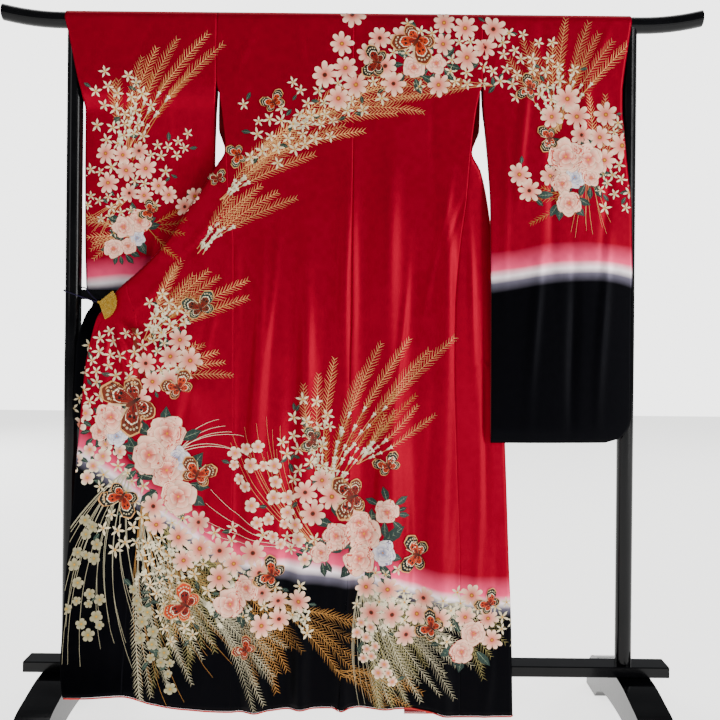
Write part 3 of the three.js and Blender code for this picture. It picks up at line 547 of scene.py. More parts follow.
# Where the dark hem begins: x across the garment and the height of the pale line (mm).
BODY_LINE = ((-645, 650), (-560, 600), (-460, 520), (-330, 440), (-270, 395), (-150, 381), (0, 362),
             (100, 345), (220, 316), (390, 300))
SLEEVE_LINE = ((-660, 1028), (-480, 1036), (-320, 1020), (320, 1050), (480, 1075), (660, 1062))
LOW_X, HIGH_X = -0.66, 0.66
LINE_TOP = 1.2  # heights are given to the curve as shares of this
LINE_SPAN, LINE_WANDER = 0.4, 0.05  # metres that the hem's colours pass over, and that their line wanders


def silk(name, line):
    """Crimson figured satin that darkens at the hem through pink and a pale line."""
    n = Nodes(name, Roughness=0.48, Metallic=0.4, Specular_IOR_Level=0.1)
    split = n.add("SeparateXYZ")
    n.join(n.place, split.inputs[0])
    along = n.add("MapRange", clamp=True)
    along.inputs["From Min"].default_value = LOW_X
    along.inputs["From Max"].default_value = HIGH_X
    n.join(split.outputs[0], along.inputs[0])
    curve = n.add("FloatCurve")
    points = curve.mapping.curves[0].points
    shares = [((x * MM - LOW_X) / (HIGH_X - LOW_X), z * MM / LINE_TOP) for x, z in line]
    for x, y in shares[1:-1]:
        points.new(x, y)
    for point, (x, y) in zip(sorted(points, key=lambda p: p.location[0]), shares):
        point.location = (x, y)
    curve.mapping.update()
    n.join(along.outputs[0], curve.inputs["Value"])
    level = n.math("MULTIPLY", curve.outputs[0], LINE_TOP)
    drift = n.texture("Noise", Scale=3.0, Detail=2.0)
    wander = n.math("MULTIPLY", n.math("SUBTRACT", drift.outputs[0], 0.5), LINE_WANDER)
    height = n.math("ADD", n.math("SUBTRACT", split.outputs[2], level), wander)
    share = n.math("ADD", n.math("DIVIDE", height, LINE_SPAN), 0.5)
    dye = n.ramp(share, (
        (0.0, BLACK), (0.42, BLACK), (0.47, GREY), (0.505, PALE), (0.55, PINK), (0.66, RED), (1.0, RED),
    ))
    tint = n.ramp(share, ((0.45, (0.3, 0.3, 0.33, 1)), (0.55, (1.0, 0.02, 0.06, 1))))
    n.join(tint, n.shader.inputs["Specular Tint"])
    # The ground's faint woven figure: small steps in tone, as on figured satin.
    figure = n.texture("Voronoi", Scale=55.0, feature="F1", distance="CHEBYCHEV")
    tone = n.texture("Noise", Scale=9.0, Detail=5.0)
    value = n.math("ADD", n.math("MULTIPLY", figure.outputs["Distance"], 0.16),
                   n.math("MULTIPLY", tone.outputs[0], 0.3))
    shade = n.add("HueSaturation")
    n.join(n.math("ADD", value, 0.8), shade.inputs["Value"])
    n.join(dye, shade.inputs["Color"])
    n.join(shade.outputs[0], n.shader.inputs["Base Color"])
    weave = n.texture("Wave", Scale=260.0, Distortion=0.4, wave_type="BANDS", bands_direction="DIAGONAL")
    crepe = n.texture("Noise", Scale=700.0, Detail=1.0)
    relief = n.math("ADD", n.math("MULTIPLY", figure.outputs["Distance"], 0.7),
                    n.math("ADD", n.math("MULTIPLY", weave.outputs[0], 0.15), crepe.outputs[0]))
    n.bump(relief, 0.12, 0.0006)
    gloss = n.math("MULTIPLY", figure.outputs["Distance"], 0.1)
    n.join(n.math("ADD", gloss, 0.385), n.shader.inputs["Roughness"])
    return n.material


def plain_silk(name, shade, dark, roughness=0.5):
    """Thin plain-woven silk for the lining and edges."""
    n = Nodes(name, Roughness=roughness, Specular_IOR_Level=0.15)
    noise = n.texture("Noise", Scale=40.0, Detail=4.0)
    n.join(n.ramp(noise.outputs[0], ((0.3, dark), (0.75, shade))), n.shader.inputs["Base Color"])
    thread = n.texture("Noise", Scale=900.0, Detail=1.0)
    n.bump(thread.outputs[0], 0.15, 0.0005)
    return n.material


def lacquer():
    n = Nodes("black_lacquer", Roughness=0.12, Specular_IOR_Level=0.15)
    noise = n.texture("Noise", Scale=14.0, Detail=3.0)
    n.join(n.ramp(noise.outputs[0], ((0.3, colour(3, 3, 4)), (0.8, colour(9, 9, 11)))),
           n.shader.inputs["Base Color"])
    n.join(n.math("ADD", n.math("MULTIPLY", noise.outputs[0], 0.12), 0.08), n.shader.inputs["Roughness"])
    ripple = n.texture("Noise", Scale=60.0, Detail=1.0)
    n.bump(ripple.outputs[0], 0.03, 0.002)
    return n.material


def gilt():
    n = Nodes("gilt_metal", Metallic=1.0, Roughness=0.25)
    noise = n.texture("Noise", Scale=180.0, Detail=3.0)
    n.join(n.ramp(noise.outputs[0], ((0.3, colour(222, 164, 46)), (0.7, colour(244, 200, 96)))),
           n.shader.inputs["Base Color"])
    n.bump(noise.outputs[0], 0.08, 0.0004)
    return n.material


def print_dye():
    """The motifs' colours are on their points, with a faint sheen of the print's own."""
    n = Nodes("dyed_motifs", Roughness=0.5, Specular_IOR_Level=0.12)
    dye = n.add("Attribute", attribute_name="dye")
    noise = n.texture("Noise", Scale=120.0, Detail=3.0)
    shade = n.add("HueSaturation")
    n.join(n.math("ADD", n.math("MULTIPLY", noise.outputs[0], 0.3), 0.85), shade.inputs["Value"])
    n.join(dye.outputs["Color"], shade.inputs["Color"])
    n.join(shade.outputs[0], n.shader.inputs["Base Color"])
    thread = n.texture("Noise", Scale=800.0, Detail=1.0)
    n.bump(thread.outputs[0], 0.12, 0.0005)
    return n.material


BODY_SILK = silk("crimson_silk_body", BODY_LINE)
SLEEVE_SILK = silk("crimson_silk_sleeve", SLEEVE_LINE)
LINING = plain_silk("lining_silk", colour(112, 3, 16), colour(98, 2, 13), 0.55)
HEM_SILK = plain_silk("hem_edge_silk", colour(206, 52, 48), colour(160, 26, 30))
LACQUER = lacquer()
GILT = gilt()
PRINT = print_dye()

# ------------------------------------------------------------------ cloth shells

def mesh_piece(name, points, faces):
    """An object with a smooth mesh, from points in metres."""
    mesh = bpy.data.meshes.new(name)
    mesh.from_pydata(points, [], faces)
    mesh.polygons.foreach_set("use_smooth", [True] * len(mesh.polygons))
    return put(name, mesh)


def grid_mesh(name, surface, columns, rows, v_range, flip):
    u, v = np.meshgrid(np.linspace(0, 1, columns), np.asarray(v_range(rows)))
    points = np.stack(surface(u, v), axis=-1).reshape(-1, 3) * MM
    index = np.arange(u.size).reshape(u.shape)
    a, b, c, d = index[:-1, :-1], index[:-1, 1:], index[1:, 1:], index[1:, :-1]
    order = (a, d, c, b) if flip else (a, b, c, d)
    faces = np.stack(order, axis=-1).reshape(-1, 4)
    return mesh_piece(name, points.tolist(), faces.tolist())


def cloth(name, nodes, surface, columns, rows, v_range, flip, materials, thickness=CLOTH):
    """A shell of silk from a surface: the first material outside, the last as its lining."""
    piece = grid_mesh(name, surface, columns, rows, v_range, flip)
    for material in materials:
        piece.data.materials.append(material)
    shell = piece.modifiers.new("thickness", "SOLIDIFY")
    shell.thickness = thickness * MM
    shell.offset = 0
    shell.use_even_offset = False
    shell.material_offset = len(materials) - 1
    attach(piece, "root")
    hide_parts(*nodes)
    return piece


def even(first, last):
    return lambda rows: np.linspace(first, last, rows)


RAIL_ROWS = 16
FRONT_FROM = 2 + 6 / 1600  # the front starts a little below the rail


def body_levels(rows):
    """Rows up the back, over the rail and down the front."""
    side = rows // 2 - 10
    return np.concatenate([
        np.linspace(0, 1, side), np.linspace(1, 2, RAIL_ROWS)[1:], np.linspace(FRONT_FROM, 3, side)])


def sleeve_levels(rows):
    side = rows // 2 - 8
    return np.concatenate([
        np.linspace(0, 1, side), np.linspace(1, 2, RAIL_ROWS)[1:], np.linspace(2, 3, side)[1:]])


shells = {}
for word, side in SIDES:
    body = cloth(
        f"silk_body_{word}", (f"back_{word}", f"front_{word}"), lambda u, v, s=side: body_surface(s, u, v),
        76, 330, body_levels, side < 0, [BODY_SILK, LINING])
    okumi = cloth(
        f"silk_okumi_{word}", (f"okumi_{word}",), lambda u, v, s=side: front_strip(s, 0, 1, u, v),
        30, 150, even(0, OKUMI_TOP), side < 0, [BODY_SILK, LINING])
    sleeve = cloth(
        f"silk_sleeve_{word}", (f"sleeve_{word}",), lambda u, v, s=side: sleeve_surface(s, u, v),
        60, 230, sleeve_levels, side < 0, [SLEEVE_SILK, LINING])
    shells.update({f"body_{word}": body, f"okumi_{word}": okumi, f"sleeve_{word}": sleeve})
collar = cloth(
    "silk_collar", ("collar",), collar_surface, 10, 300, even(COLLAR_FROM, 2 - COLLAR_FROM), True,
    [BODY_SILK], BAND)
shells["collar"] = collar

# ------------------------------------------------------------------ hem edges, and a helper that gives the CAD model's parts materials

def tube(name, points, radius, sides=10):
    """A closed tube through points given in mm."""
    points = [Vector(p) * MM for p in points]
    verts, faces = [], []
    last = len(points) - 1
    for i, point in enumerate(points):
        ahead = (points[min(last, i + 1)] - points[max(0, i - 1)]).normalized()
        across = ahead.cross(Vector((0, 0, 1))).normalized()
        rise = across.cross(ahead)
        for k in range(sides):
            angle = 2 * math.pi * k / sides
            verts.append(point + (across * math.cos(angle) + rise * math.sin(angle)) * radius * MM)
    for i in range(last):
        for k in range(sides):
            a, b = i * sides + k, i * sides + (k + 1) % sides
            faces.append((a, b, b + sides, a + sides))
    faces.append(tuple(range(sides))[::-1])
    faces.append(tuple(last * sides + k for k in range(sides)))
    return mesh_piece(name, [tuple(v) for v in verts], faces)


HEM_ROLL, HEM_GAP = 1.7, 0.7
HEM_STEPS = (60, 90)  # along the back and the front
for word, side in SIDES:
    bottom = FRONTS[side]["z"][0]
    whole = float(front_widths(side, bottom)[2])
    u = np.linspace(0, 1, HEM_STEPS[0])
    back = np.stack(back_surface(side, u, np.zeros(HEM_STEPS[0])), axis=-1)
    distance = np.linspace(0, 1, HEM_STEPS[1])[1:] * whole
    front = np.stack(front_surface(side, distance, front_hem(side, distance)), axis=-1)
    route = np.concatenate([back, front]) - np.array([0, 0, HEM_ROLL + HEM_GAP])
    route[0, 0] += side
    edge = tube(f"silk_hem_edge_{word}", route.tolist(), HEM_ROLL)
    edge.data.materials.append(HEM_SILK)
    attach(edge, "root")
    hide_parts(f"hem_edge_{word}")
    shells[f"hem_edge_{word}"] = edge


def give(material, *nodes):
    """Puts a material on the CAD model's own parts."""
    for node in nodes:
        for slot in bpy.data.objects[node].material_slots:
            slot.material = material


# ------------------------------------------------------------------ dyed motifs
# Every motif is a flat figure in mm, x across and z up, laid on whatever cloth it meets from one side.
DYES = {
    "cream": (236, 224, 190), "ivory": (204, 178, 132), "gold": (204, 150, 92), "old_gold": (156, 110, 52),
    "olive": (134, 124, 76), "silver": (166, 158, 130), "pale_pink": (242, 186, 162),
    "rose": (204, 82, 70), "lavender": (218, 212, 218), "shadow_blue": (132, 136, 168),
    "leaf": (38, 56, 50), "leaf_vein": (122, 134, 112), "orange": (192, 56, 20), "brick": (128, 24, 14),
    "ink": (16, 20, 20), "yolk": (206, 144, 34), "mist": (190, 178, 146), "bronze": (104, 40, 22),
}


def dye(name, tone=1.0):
    return np.array(colour(*(min(255, c * tone) for c in DYES[name]))[:3])


def heading(turn):
    """A step of one along a direction, as a complex number."""
    return complex(math.cos(turn), math.sin(turn))


class Print:
    """Figures gathered in one mesh."""

    def __init__(self):
        self.points, self.lifts, self.shades, self.faces = [], [], [], []

    def add(self, at, turn, size, points, shades, faces, lift):
        start = len(self.points)
        spin = heading(turn) * size
        here = complex(*at)
        for p in points:
            q = here + p * spin
            self.points.append((q.real, q.imag))
        self.lifts.extend([lift] * len(points))
        self.shades.extend(shades)
        self.faces.extend([tuple(i + start for i in face) for face in faces])


def petal_strip(base, length, width, sections, inner, outer, bend=0.0):
    """A petal along +x: a row of left, middle and right points at each section of (share, half width)."""
    points, shades, faces = [], [], []
    for share, half in sections:
        r = base + share * length
        sway = bend * share * share * length
        reach = half * width
        points += [complex(r, sway - reach), complex(r + 0.04 * length, sway), complex(r, sway + reach)]
        shade = mix(inner, outer, share)
        # The left and right points of each row are painted a little darker than the middle (0.94 and 0.97):
        # painted shade along the petal's sides, over the dye that runs from inner to outer.
        shades += [shade * 0.94, shade, shade * 0.97]
    for k in range(len(sections) - 1):
        a = 3 * k
        faces += [(a, a + 3, a + 4, a + 1), (a + 1, a + 4, a + 5, a + 2)]
    return points, shades, faces


FULL_TURN = 6.28
POINTED = ((0, 0.25), (0.35, 0.9), (0.65, 1.0), (1, 0.06))
ROUND = ((0, 0.2), (0.3, 0.72), (0.65, 1.0), (0.9, 0.85), (1, 0.45))


def ring_of_petals(out, at, size, count, base, width, sections, inner, outer, lift):
    turn = random.uniform(0, FULL_TURN)
    for k in range(count):
        angle = turn + 2 * math.pi * k / count + random.uniform(-0.08, 0.08)
        grown = random.uniform(0.88, 1.08)
        out.add(at, angle, size, *petal_strip(base, grown, width, sections, inner, outer), lift)


def disc(out, at, radius, shade, lift, sides=8, rim=None):
    points = [0] + [heading(2 * math.pi * k / sides) for k in range(sides)]
    shades = [shade] + [shade * 0.85 if rim is None else rim] * sides
    faces = [(0, 1 + k, 1 + (k + 1) % sides) for k in range(sides)]
    out.add(at, 0, radius, points, shades, faces, lift)


def star(out, at, size, lift=0.6):
    tone = random.uniform(0.92, 1.03)
    ring_of_petals(out, at, size, 5, 0.05, 0.17, POINTED, dye("ivory", tone), dye("cream", tone), lift)
    disc(out, at, size * 0.16, dye("yolk"), lift + 0.1, 5)


def daisy(out, at, size, lift=0.75):
    tone = random.uniform(0.94, 1.03)
    ring_of_petals(out, at, size, 8, 0.08, 0.25, ROUND, dye("rose", tone),
                   mix(dye("pale_pink", tone), dye("cream", tone), 0.4), lift)
    middle = random.choice(("yolk", "ink", "yolk"))
    disc(out, at, size * 0.2, dye(middle), lift + 0.15, 8, dye("bronze"))


def plum(out, at, size, lift=0.7, inner="rose", outer="cream"):
    ring_of_petals(out, at, size, 5, 0.05, 0.42, ROUND, dye(inner), dye(outer), lift)
    disc(out, at, size * 0.18, dye("yolk"), lift + 0.1, 6)


def medal(out, at, size):
    """A small flower in metal tones, as on the dark hem."""
    plum(out, at, size, inner="olive", outer="silver")


def ruffled_petal(half_angle, reach, shades):
    """A broad petal along +x with a wavy rim: rings of points from the heart out to the rim."""
    wave, ripple = random.uniform(0, FULL_TURN), random.uniform(0.04, 0.08)
    points, colours = [], []
    for ring, (radius, shade) in enumerate(zip((0.1, 0.45, 0.8, 1.0), shades)):
        for k in range(7):
            t = k / 3 - 1
            edge = 1 - 0.2 * abs(t) ** 3 + ripple * math.sin(4.5 * t + wave) * (ring > 1)
            spread = half_angle * t * (0.75 + 0.25 * radius)
            points.append(heading(spread) * radius * reach * edge)
            # Each petal is painted darker towards its side under the next, higher petal: painted shade of
            # the overlap. Its middle line is also a little darker.
            colours.append(shade * (1 - 0.38 * max(0, t) ** 2 - 0.1 * (k == 3)))
    faces = [(7 * r + k, 7 * r + k + 7, 7 * r + k + 8, 7 * r + k + 1) for r in range(3) for k in range(6)]
    return points, colours, faces


def peony(out, at, size, lift=1.0, heart="rose", rim="pale_pink"):
    """Three layers of broad petals round a yellow heart, each petal over a thin dark line."""
    turn = random.uniform(0, FULL_TURN)
    flesh = mix(dye(heart), dye(rim), 0.3)
    light = mix(dye(rim), dye("cream"), 0.4)
    for count, reach, half_angle, level, depth in (
        (5, 1.0, 0.72, 0.0, 0.0), (4, 0.74, 0.8, 0.2, 0.15), (3, 0.44, 0.95, 0.4, 0.35),
    ):
        shades = (dye(heart), mix(flesh, dye(heart), 0.3 + depth / 2), mix(dye(rim), flesh, depth), light)
        for k in range(count):
            points, colours, faces = ruffled_petal(half_angle, random.uniform(0.88, 1.08) * reach, shades)
            angle = turn + 2 * math.pi * k / count + random.uniform(-0.12, 0.12)
            line_dye = [mix(dye(heart), dye("brick"), 0.25)] * len(points)
            out.add(at, angle, size + 0.7, points, line_dye, faces, lift + level + 0.05 * k - 0.02)
            out.add(at, angle, size, points, colours, faces, lift + level + 0.05 * k)
        turn += 0.7
    disc(out, at, size * 0.07, dye("yolk"), lift + 0.72, 6)


def leaf(out, at, turn, size, lift=0.6):
    tone = random.uniform(0.8, 1.15)
    blade = petal_strip(0, 1, 0.24, POINTED, dye("leaf", tone), dye("leaf", tone * 0.9), 0.08)
    out.add(at, turn, size, *blade, lift)
    rib = [complex(0, -0.016), complex(0.9, 0.06), complex(0.9, 0.07), complex(0, 0.016)]
    out.add(at, turn, size, rib, [dye("leaf_vein")] * 4, [(0, 1, 2, 3)], lift + 0.12)
    for side in (-1, 1):
        for share in (0.25, 0.45, 0.65):
            foot = complex(share, 0.05 * share)
            tip = foot + complex(0.12, side * 0.15)
            vein = [foot, foot + 0.02, tip]
            out.add(at, turn, size, vein, [dye("leaf_vein", 0.85)] * 3, [(0, 1, 2)], lift + 0.1)


def bell(out, at, turn, size, shade, lift):
    """A small three-pointed flower at the tip of a stem."""
    for lean, reach in ((-0.6, 0.9), (0, 1.0), (0.6, 0.9)):
        petal = petal_strip(0, reach, 0.22, POINTED, dye(shade, 0.85), dye(shade))
        out.add(at, turn + lean, size, *petal, lift)


WING_TOP = ((0, 0.08), (0.3, 0.22), (0.6, 0.33), (0.85, 0.31), (1, 0.1))
WING_LOW = ((0, 0.12), (0.3, 0.32), (0.6, 0.4), (0.85, 0.32), (1, 0.12))


def wing(out, at, turn, size, sections, lift, body, rim):
    """One wing: a gold outline, a dark rim with dots, a bright middle with a pale edge, and veins."""
    for share, name, level in ((1.0, "gold", 0.0), (0.94, rim, 0.1), (0.66, "cream", 0.2), (0.61, body, 0.3),
                               (0.3, "brick", 0.4)):
        layer = petal_strip(0.02, share, share * 0.96, sections, dye(name, 0.9), dye(name))
        out.add(at, turn, size, *layer, lift + level)
    for lean in (-0.3, -0.1, 0.1, 0.3):
        vein = [complex(0.1, -0.006), complex(0.86, lean * 0.8 - 0.01),
                complex(0.86, lean * 0.8 + 0.01), complex(0.1, 0.006)]
        out.add(at, turn, size, vein, [dye("ink")] * 4, [(0, 1, 2, 3)], lift + 0.45)
    for lean in (-0.27, -0.14, 0.0, 0.14, 0.27):
        spot = complex(*at) + heading(turn + lean) * size * (0.83 - lean * lean)
        disc(out, (spot.real, spot.imag), size * 0.042, dye("ivory"), lift + 0.5, 6, dye("silver"))
    for lean in (-0.16, 0.16):
        spot = complex(*at) + heading(turn + lean) * size * 0.46
        disc(out, (spot.real, spot.imag), size * 0.05, dye("ink"), lift + 0.5, 6)


def butterfly(out, at, turn, size, lift, body, rim):
    ahead = turn + math.pi / 2
    for side in (-1, 1):
        wing(out, at, ahead + side * 1.95, size * 0.68, WING_LOW, lift, body, rim)
        wing(out, at, ahead + side * 0.9, size, WING_TOP, lift + 0.5, body, rim)
    out.add(at, ahead, size, *petal_strip(-0.22, 0.5, 0.07, ROUND, dye("ink"), dye("bronze")), lift + 1.1)
    for side in (-1, 1):
        feeler = [complex(0.25, 0), complex(0.62, side * 0.2),
                  complex(0.62, side * 0.24), complex(0.24, side * 0.04)]
        out.add(at, ahead, size, feeler, [dye("ivory")] * 4, [(0, 1, 2, 3)], lift + 1.0)


def curve_points(at, turn, length, bend, steps):
    """Points and headings of an arc that starts at a place and heading and turns by bend."""
    spots, place = [], complex(*at)
    for k in range(steps + 1):
        angle = turn + bend * k / steps
        spots.append((place, angle))
        place += heading(angle) * length / steps
    return spots


def line(out, at, turn, length, bend, width, shade, lift=0.35, steps=14):
    spots = curve_points(at, turn, length, bend, steps)
    points, shades = [], []
    for k, (place, angle) in enumerate(spots):
        half = width / 2 * (1 - 0.6 * k / steps)
        aside = heading(angle) * 1j * half
        points += [place - aside, place + aside]
        shades += [shade, shade]
    faces = [(2 * k, 2 * k + 2, 2 * k + 3, 2 * k + 1) for k in range(steps)]
    out.add((0, 0), 0, 1, points, shades, faces, lift)
    return spots


def pod(out, at, turn, size, shade, lift=0.55):
    """A seed pod: a drop with three small sepals at its tip."""
    drop = petal_strip(-0.4, 1.0, 0.26, ROUND, dye(shade, 0.8), dye(shade, 1.1))
    out.add(at, turn, size, *drop, lift)
    tip = (at[0] + math.cos(turn) * size * 0.6, at[1] + math.sin(turn) * size * 0.6)
    bell(out, tip, turn, size * 0.75, "cream", lift + 0.05)


def plume(out, at, turn, length, bend, barb, shade, lift=0.4, bare=0.3, gap=8.5):
    """A grass plume: a curved stem with spaced barbs on both sides past its bare foot."""
    steps = max(8, int(length / gap))
    spots = line(out, at, turn, length, bend, 1.5, shade, lift, steps)
    for k, (place, angle) in enumerate(spots):
        share = k / steps
        if share < bare:
            continue
        grown = (share - bare) / (1 - bare)
        swell = math.sin(math.pi * min(1, grown * 0.8 + 0.14))
        reach = 1.3 * barb * (0.4 + 0.65 * swell) * random.uniform(0.85, 1.1)
        for side in (-1, 1):
            ahead = heading(angle + side * random.uniform(0.6, 0.78))
            aside = ahead * 1j
            middle, tip = place + ahead * reach * 0.6, place + ahead * reach
            points = [place - aside * 0.6, middle - aside * 0.42, tip,
                      middle + aside * 0.42, place + aside * 0.6]
            tone = random.uniform(0.8, 1.15)
            out.add((0, 0), 0, 1, points, [shade * tone] * 5, [(0, 1, 3, 4), (1, 2, 3)], lift + 0.03 * side)


def fan_of_plumes(out, at, first, last, count, short, long, bend, barb, shade, tips=None, bare=0.3):
    """Plumes that spread from one foot, with seed pods up each bare stem when a pod dye is given."""
    for k in range(count):
        share = k / max(1, count - 1)
        turn = math.radians(mix(first, last, share) + random.uniform(-2, 2))
        length = mix(short, long, share) * random.uniform(0.86, 1.08)
        start = (at[0] + random.uniform(-8, 8), at[1] + random.uniform(-8, 8))
        plume(out, start, turn, length, bend, barb, dye(shade, random.uniform(0.85, 1.15)), bare=bare)
        if tips:
            stem = curve_points(start, turn, length, bend, 40)
            for share_up in (bare - 0.02, bare - 0.14, bare - 0.25):
                if share_up > 0.05:
                    foot, angle = stem[int(40 * share_up)]
                    pod(out, (foot.real, foot.imag), angle, random.uniform(9, 13), tips)


def cluster(out, figure, path, spread, count, small, large, taken):
    """Figures scattered along a path of (x, z) points, each with room of its own."""
    for _ in range(count):
        size = random.uniform(small, large)
        for _ in range(14):
            share = random.uniform(0, len(path) - 1.001)
            i = int(share)
            x = mix(path[i][0], path[i + 1][0], share - i) + random.gauss(0, spread)
            z = mix(path[i][1], path[i + 1][1], share - i) + random.gauss(0, spread)
            if all(math.hypot(x - a, z - b) > 0.82 * (size + r) for a, b, r in taken):
                taken.append((x, z, size))
                figure(out, (x, z), size)
                break


def leafy(out, at, reach, count, size):
    for k in range(count):
        turn = 2 * math.pi * k / count + random.uniform(-0.4, 0.4)
        foot = (at[0] + math.cos(turn) * reach, at[1] + math.sin(turn) * reach)
        leaf(out, foot, turn + random.uniform(-0.3, 0.3), size * random.uniform(0.8, 1.2))


def bouquet(out, at, size, count=3, turn=0.6):
    """Peonies that touch, with leaves behind them."""
    leafy(out, at, size * 0.95, 8, size * 1.15)
    for k in range(count):
        angle = turn + 2 * math.pi * k / count
        reach = size * (0.0 if count == 1 else 0.8)
        spot = (at[0] + reach * math.cos(angle), at[1] + reach * math.sin(angle))
        if k % 3 == 2:
            peony(out, spot, size * 0.7, 0.8, "shadow_blue", "lavender")
        else:
            peony(out, spot, size * random.uniform(0.85, 1.1), 1.0 + 0.5 * k)


CAST_FROM = 0.6  # metres in front of the garment


class Cloth:
    """The garment's surface as met from one side: -Y, which shows the back, or +Y."""

    def __init__(self, way):
        self.way = way
        verts, faces = [], []
        depsgraph = bpy.context.evaluated_depsgraph_get()
        for shell in shells.values():
            mesh = shell.evaluated_get(depsgraph).to_mesh()
            start = len(verts)
            verts += [tuple(v.co) for v in mesh.vertices]
            faces += [tuple(start + i for i in p.vertices) for p in mesh.polygons]
        self.tree = BVHTree.FromPolygons(verts, faces)

    def lay(self, name, figures, most_step=14.0, fine=7.0):
        """Lays figures on the cloth, cut fine enough to follow its folds; what spans a step is left out."""
        flat = bmesh.new()
        tones = [flat.verts.layers.float.new(part) for part in ("red", "green", "blue")]
        corners = []
        for (x, z), lift, shade in zip(figures.points, figures.lifts, figures.shades):
            corner = flat.verts.new((x, z, lift))
            for tone, value in zip(tones, shade):
                corner[tone] = value
            corners.append(corner)
        for face in figures.faces:
            flat.faces.new([corners[i] for i in face])
        for _ in range(2):
            long = [edge for edge in flat.edges if edge.calc_length() > fine]
            if long:
                bmesh.ops.subdivide_edges(flat, edges=long, cuts=1, use_grid_fill=True)
        flat.verts.index_update()
        points, depth, shades = [], [], []
        for corner in flat.verts:
            x, z, lift = corner.co
            start = Vector((x * MM, -CAST_FROM * self.way, z * MM))
            spot, normal, _, _ = self.tree.ray_cast(start, Vector((0, self.way, 0)))
            depth.append(None if spot is None else spot.y)
            if spot is None:
                points.append((x * MM, 0, z * MM))
            else:
                points.append(tuple(spot + normal * (-lift if normal.y * self.way > 0 else lift) * MM))
            shades.append([corner[tone] for tone in tones] + [1.0])
        faces = []
        for face in flat.faces:
            index = [corner.index for corner in face.verts]
            depths = [depth[i] for i in index]
            if None not in depths and max(depths) - min(depths) < most_step * MM:
                faces.append(index if self.way > 0 else index[::-1])
        flat.free()
        used = sorted({i for face in faces for i in face})
        place = {old: new for new, old in enumerate(used)}
        mesh = bpy.data.meshes.new(name)
        mesh.from_pydata([points[i] for i in used], [], [tuple(place[i] for i in face) for face in faces])
        piece = put(name, mesh)
        colours = np.array([shades[i] for i in used])
        mesh.attributes.new("dye", "FLOAT_COLOR", "POINT").data.foreach_set("color", colours.ravel())
        mesh.materials.append(PRINT)
        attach(piece, "root")
        return piece


# Fans of plumes: foot x, z, first and last heading in degrees, count, shortest and longest stem, bend,
# barb length, dye, the flower at the top of each bare stem, and the bare share of a stem.
PLUMES_BACK = (
    # left sleeve
    (-535, 1320, 108, 56, 7, 190, 360, -0.3, 18, "gold", "mist", 0.5),
    (-520, 1330, 104, 62, 5, 130, 240, -0.3, 14, "old_gold", None, 0.45),
    (-512, 1150, 205, 150, 6, 110, 140, 0.3, 13, "gold", None, 0.3),
    (-480, 1180, 20, -50, 4, 90, 130, 0.3, 12, "old_gold", None, 0.3),
    # across the shoulders
    (-350, 1110, 70, 40, 5, 170, 250, -0.35, 18, "gold", "mist", 0.35),
    (-300, 1225, 62, 36, 5, 190, 280, -0.3, 18, "gold", "mist", 0.3),
    (-240, 1310, 52, 28, 5, 210, 280, -0.35, 18, "gold", None, 0.25),
    (-150, 1390, 46, 20, 4, 190, 250, -0.35, 17, "gold", "mist", 0.25),
    (-40, 1450, 34, 6, 4, 180, 230, -0.3, 16, "gold", None, 0.2),
    (330, 1500, 186, 172, 3, 260, 340, 0.16, 16, "gold", None, 0.2),
    # right sleeve
    (480, 1400, 128, 54, 9, 230, 260, -0.2, 18, "gold", "mist", 0.5),
    (490, 1410, 120, 60, 6, 150, 170, -0.2, 14, "old_gold", None, 0.45),
    (560, 1280, 88, 56, 4, 210, 150, 0.2, 15, "gold", None, 0.35),
    (520, 1230, 150, 200, 3, 90, 110, 0.2, 12, "old_gold", None, 0.3),
    # opened front
    (-470, 895, 80, 36, 7, 190, 270, -0.3, 18, "gold", "mist", 0.42),
    (-460, 905, 70, 34, 5, 130, 180, -0.3, 14, "old_gold", None, 0.4),
    (-450, 800, 60, 16, 5, 140, 180, -0.4, 14, "gold", "mist", 0.35),
    (-420, 470, -28, -84, 13, 230, 350, -0.25, 18, "olive", "silver", 0.4),
    (-420, 430, -34, -80, 9, 150, 210, -0.25, 14, "old_gold", None, 0.3),
    (-470, 480, -64, -98, 12, 300, 430, 0.3, 15, "silver", "silver", 0.3),
    (-340, 310, -18, -58, 9, 200, 290, -0.25, 16, "silver", "silver", 0.25),
    (-300, 400, -22, -62, 10, 240, 330, -0.3, 19, "old_gold", "silver", 0.45),
    (-150, 290, -2, -42, 6, 180, 220, -0.22, 18, "old_gold", "silver", 0.3),
    # middle
    (-55, 560, 112, 54, 9, 200, 440, -0.22, 18, "gold", "mist", 0.52),
    (-40, 560, 100, 56, 6, 130, 300, -0.22, 14, "old_gold", "mist", 0.42),
    (20, 620, 58, 26, 4, 130, 200, 0.25, 13, "gold", "mist", 0.4),
    (35, 345, -22, -80, 12, 210, 300, -0.2, 18, "olive", "silver", 0.4),
    (70, 335, -10, -46, 7, 230, 290, -0.24, 17, "silver", "silver", 0.42),
    (-20, 150, -4, -34, 4, 180, 200, -0.15, 18, "old_gold", None, 0.15),
    (60, 330, -30, -92, 12, 220, 300, 0.3, 15, "silver", "silver", 0.3),
    # right front
    (230, 300, -12, -60, 7, 130, 190, -0.2, 15, "olive", "silver", 0.35),
)
# Bunches of long thin lines: x, z, first and last heading, count, length, bend, width, dye.
LINES_BACK = (
    (-505, 610, 216, 262, 20, 470, 0.75, 1.5, "silver"),
    (-470, 520, 258, 290, 18, 460, 0.5, 1.5, "old_gold"),
    (-60, 420, 150, 128, 13, 330, -0.75, 1.1, "gold"),
    (40, 360, 252, 282, 16, 330, 0.5, 1.5, "silver"),
    (-400, 640, 62, 22, 6, 170, -0.9, 1.3, "cream"),
    (-540, 1230, 200, 236, 8, 120, 0.3, 1.2, "gold"),
    (560, 1330, 282, 246, 8, 180, 0.25, 1.2, "gold"),
    (-120, 430, 160, 185, 4, 260, -0.5, 1.0, "cream"),
    (-500, 930, 268, 292, 10, 170, 0.1, 1.1, "bronze"),
)
